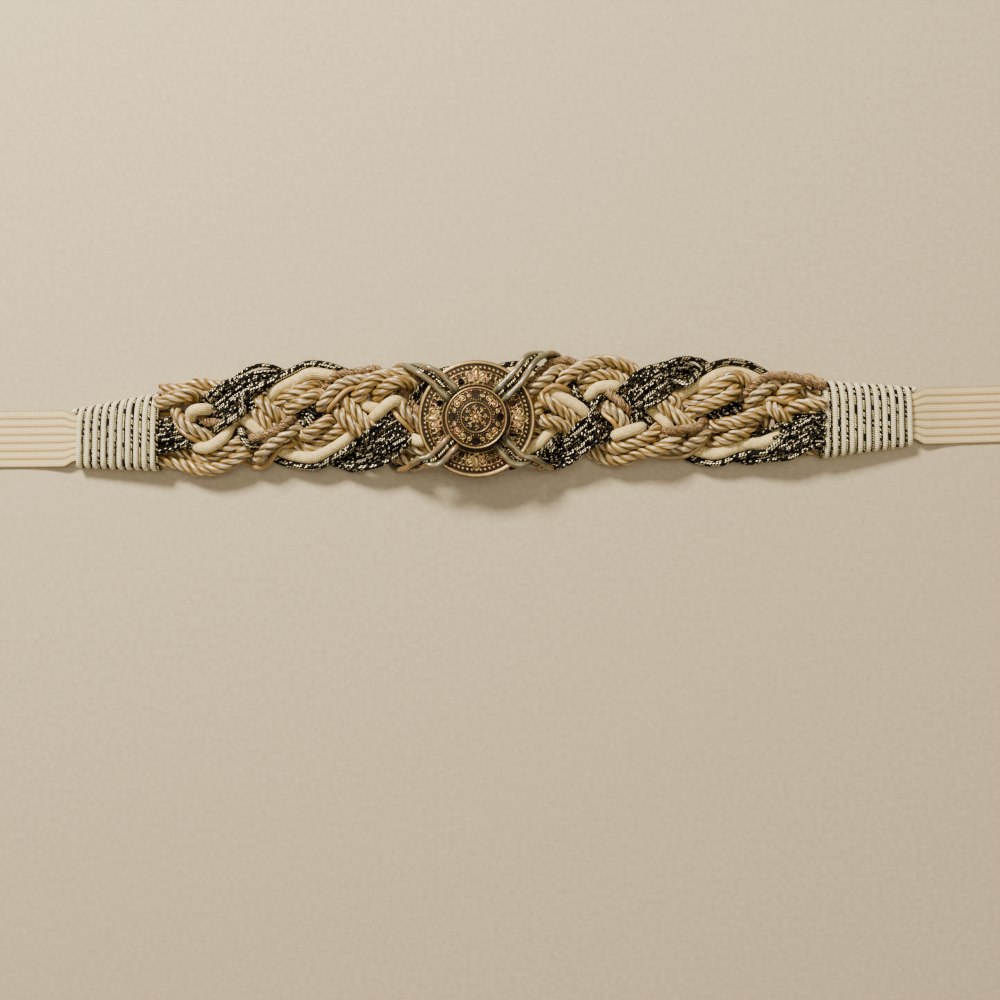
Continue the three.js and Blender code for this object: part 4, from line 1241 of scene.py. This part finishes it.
def disc_relief(x, y):
    """The outer disc's ornament, with four drop-shaped bosses in their rims."""
    out, across = folded(x, y, 4, 0)
    along = out - 18.9
    drop = dome(along / 2.7, across / (1.25 - 0.1 * along))
    rim = dome((np.hypot(along / 3.3, across / 1.8) - 1) / 0.16)
    return np.maximum.reduce([ornament(x, y, DISC_RINGS, DISC_FIELDS), 1.05 * drop, 0.45 * rim])


def boss_relief(x, y):
    """The boss's ornament, with eight petals round its middle."""
    out, across = folded(x, y, 8, 0.5)
    petal = dome((out - 2.1) / 0.95, across / 0.5)
    return np.maximum(ornament(x, y, BOSS_RINGS, BOSS_FIELDS), 0.55 * petal)


def polar_grid(radius, radial, around, holes):
    """Places of a polar grid. Those near the edge of a hole move onto it, so that it is cut round."""
    angle = np.arange(around) / around * TURN
    r = (np.linspace(0, 1, radial + 1)[1:] * radius)[:, None] * np.ones(around)
    x = r * np.cos(angle)
    y = r * np.sin(angle)
    for cx, cy, size in holes:
        far = np.hypot(x - cx, y - cy)
        near = np.abs(far - size) < 0.3 * radius / radial + 0.06
        scale = np.where(near, size / np.maximum(far, 1e-6), 1)
        x = np.where(near, cx + (x - cx) * scale, x)
        y = np.where(near, cy + (y - cy) * scale, y)
    return x, y


def plate_faces(x, y, holes):
    """Faces of a plate's top, underside, rim and holes. The two middle points come last."""
    radial, around = x.shape
    total = radial * around
    grid = np.arange(total).reshape(radial, around)
    right = np.roll(grid, -1, 1)
    quads = np.stack([grid[:-1], grid[1:], right[1:], right[:-1]], -1).reshape(-1, 4)
    middle_x, middle_y = x.reshape(-1)[quads].mean(1), y.reshape(-1)[quads].mean(1)
    cut = np.zeros(len(quads), bool)
    for cx, cy, size in holes:
        cut |= np.hypot(middle_x - cx, middle_y - cy) < size * 0.98
    quads = quads[~cut]
    faces = quads.tolist() + (quads[:, ::-1] + total).tolist()
    first = grid[0].tolist()
    for a, b in zip(first, first[1:] + first[:1]):
        faces.append((2 * total, a, b))
        faces.append((2 * total + 1, b + total, a + total))
    edges = np.concatenate([quads[:, [k, (k + 1) % 4]] for k in range(4)])
    edges = np.concatenate([edges, np.stack([np.roll(grid[0], -1), grid[0]], 1)])
    _, index, counts = np.unique(np.sort(edges, 1), axis=0, return_index=True, return_counts=True)
    for a, b in edges[index[counts == 1]].tolist():
        faces.append((b, a, a + total, b + total))
    return faces


def cast_plate(name, radius, radial, around, surface, relief, under, holes, node):
    """A round plate on a polar grid: relief on its top, a plain underside, and holes right through."""
    x, y = polar_grid(radius, radial, around, holes)
    faces = plate_faces(x, y, holes)
    x = np.append(x.reshape(-1), 0.0)
    y = np.append(y.reshape(-1), 0.0)
    r = np.hypot(x, y)
    raised = relief(x, y)
    top = np.stack([x, y, surface(r) + raised], 1)
    low = np.stack([x, y, under(r)], 1)
    points = np.concatenate([top[:-1], low[:-1], top[-1:], low[-1:]])
    shade = np.clip(raised[:-1] / SHADE_RISE, 0, 1)
    worn = np.concatenate([shade, np.full(len(shade), 0.2), [1.0, 0.2]])
    # Only the points that the holes don't take away
    used = np.unique(np.concatenate([np.ravel(face) for face in faces]))
    place = np.zeros(len(points), int)
    place[used] = np.arange(len(used))
    listed = [place[list(face)].tolist() for face in faces]
    belongs(new_object(name, points[used], listed, worn[used], finishes["brass"]), "brass", node)


def ring_of_holes(count, reach, size, turned):
    return [
        (reach * math.cos(TURN * k / count + turned), reach * math.sin(TURN * k / count + turned), size)
        for k in range(count)
    ]


BOSS_RADIUS = 13.2
BOSS_THICK = 1.4
BOSS_CROWN = 1.6
boss_seat = disc_top + RIM_RISE + LASH_SATIN + 2 * CLEAR

cast_plate(
    "medallion_outer", DISC_RADIUS, 96, 480,
    lambda r: disc_top - dish_at(r),
    disc_relief,
    lambda r: disc_seat - dish_at(r),
    ring_of_holes(8, DISC_RADIUS * 0.68, 1.35, TURN / 16) + ring_of_holes(4, 13.2, 1.9, TURN / 8),
    "medallion_disc",
)
cast_plate(
    "medallion_centre", BOSS_RADIUS, 60, 320,
    lambda r: boss_seat + BOSS_THICK - 0.3 + BOSS_CROWN * (1 - (r / BOSS_RADIUS) ** 2),
    boss_relief,
    lambda r: boss_seat + BOSS_CROWN * (1 - (r / BOSS_RADIUS) ** 2) * 0.8,
    ring_of_holes(4, BOSS_RADIUS * 0.79, 1.5, 0),
    "medallion_boss",
)

for node in ("left_hook", "right_eye"):
    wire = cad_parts[node]
    wire.data.materials.clear()
    wire.data.materials.append(finishes["steel"])


# Floor, light and camera


def make_floor():
    mesh = bpy.data.meshes.new("floor")
    half = 2.0
    corners = [(-half, -half, 0), (half, -half, 0), (half, half, 0), (-half, half, 0)]
    mesh.from_pydata(corners, [], [(0, 1, 2, 3)])
    floor = bpy.data.objects.new("floor", mesh)
    bpy.context.scene.collection.objects.link(floor)
    shader = Shader("floor_paper")
    grain = shader.noise(shader.place(), 400, 4)
    colour = shader.ramp(grain, (0.3, "#b5a483"), (0.7, "#c2b292"))
    floor.data.materials.append(shader.finish(Base_Color=colour, Roughness=0.9))


def softbox(name, place, target, size, power, colour):
    light = bpy.data.lights.new(name, "AREA")
    light.shape = "RECTANGLE"
    light.size, light.size_y = size
    light.energy = power
    light.color = colour
    made = bpy.data.objects.new(name, light)
    made.location = place
    made.rotation_euler = (Vector(target) - Vector(place)).to_track_quat("-Z", "Y").to_euler()
    bpy.context.scene.collection.objects.link(made)


CAMERA_PLACE = (0.0102, -0.0352, 0.45)

make_floor()
softbox("window", (-0.5, 0.75, 0.75), (0, 0, 0), (0.32, 0.22), 37, (1.0, 0.93, 0.8))
softbox("fill", (0.6, -0.8, 0.9), (0, 0, 0), (1.2, 0.8), 2.5, (1.0, 0.92, 0.8))
softbox("top", (0.1, 0.1, 1.4), (0, 0, 0), (1.0, 0.6), 7.5, (1.0, 0.94, 0.84))

world = bpy.data.worlds.new("room")
world.use_nodes = True
background = world.node_tree.nodes["Background"]
background.inputs["Color"].default_value = (0.84, 0.78, 0.68, 1)
background.inputs["Strength"].default_value = 0.2
bpy.context.scene.world = world

camera_data = bpy.data.cameras.new("camera")
camera_data.lens = 36
camera_data.sensor_width = 36
camera_data.clip_start = 0.01
camera = bpy.data.objects.new("camera", camera_data)
camera.location = CAMERA_PLACE
bpy.context.scene.collection.objects.link(camera)
bpy.context.scene.camera = camera
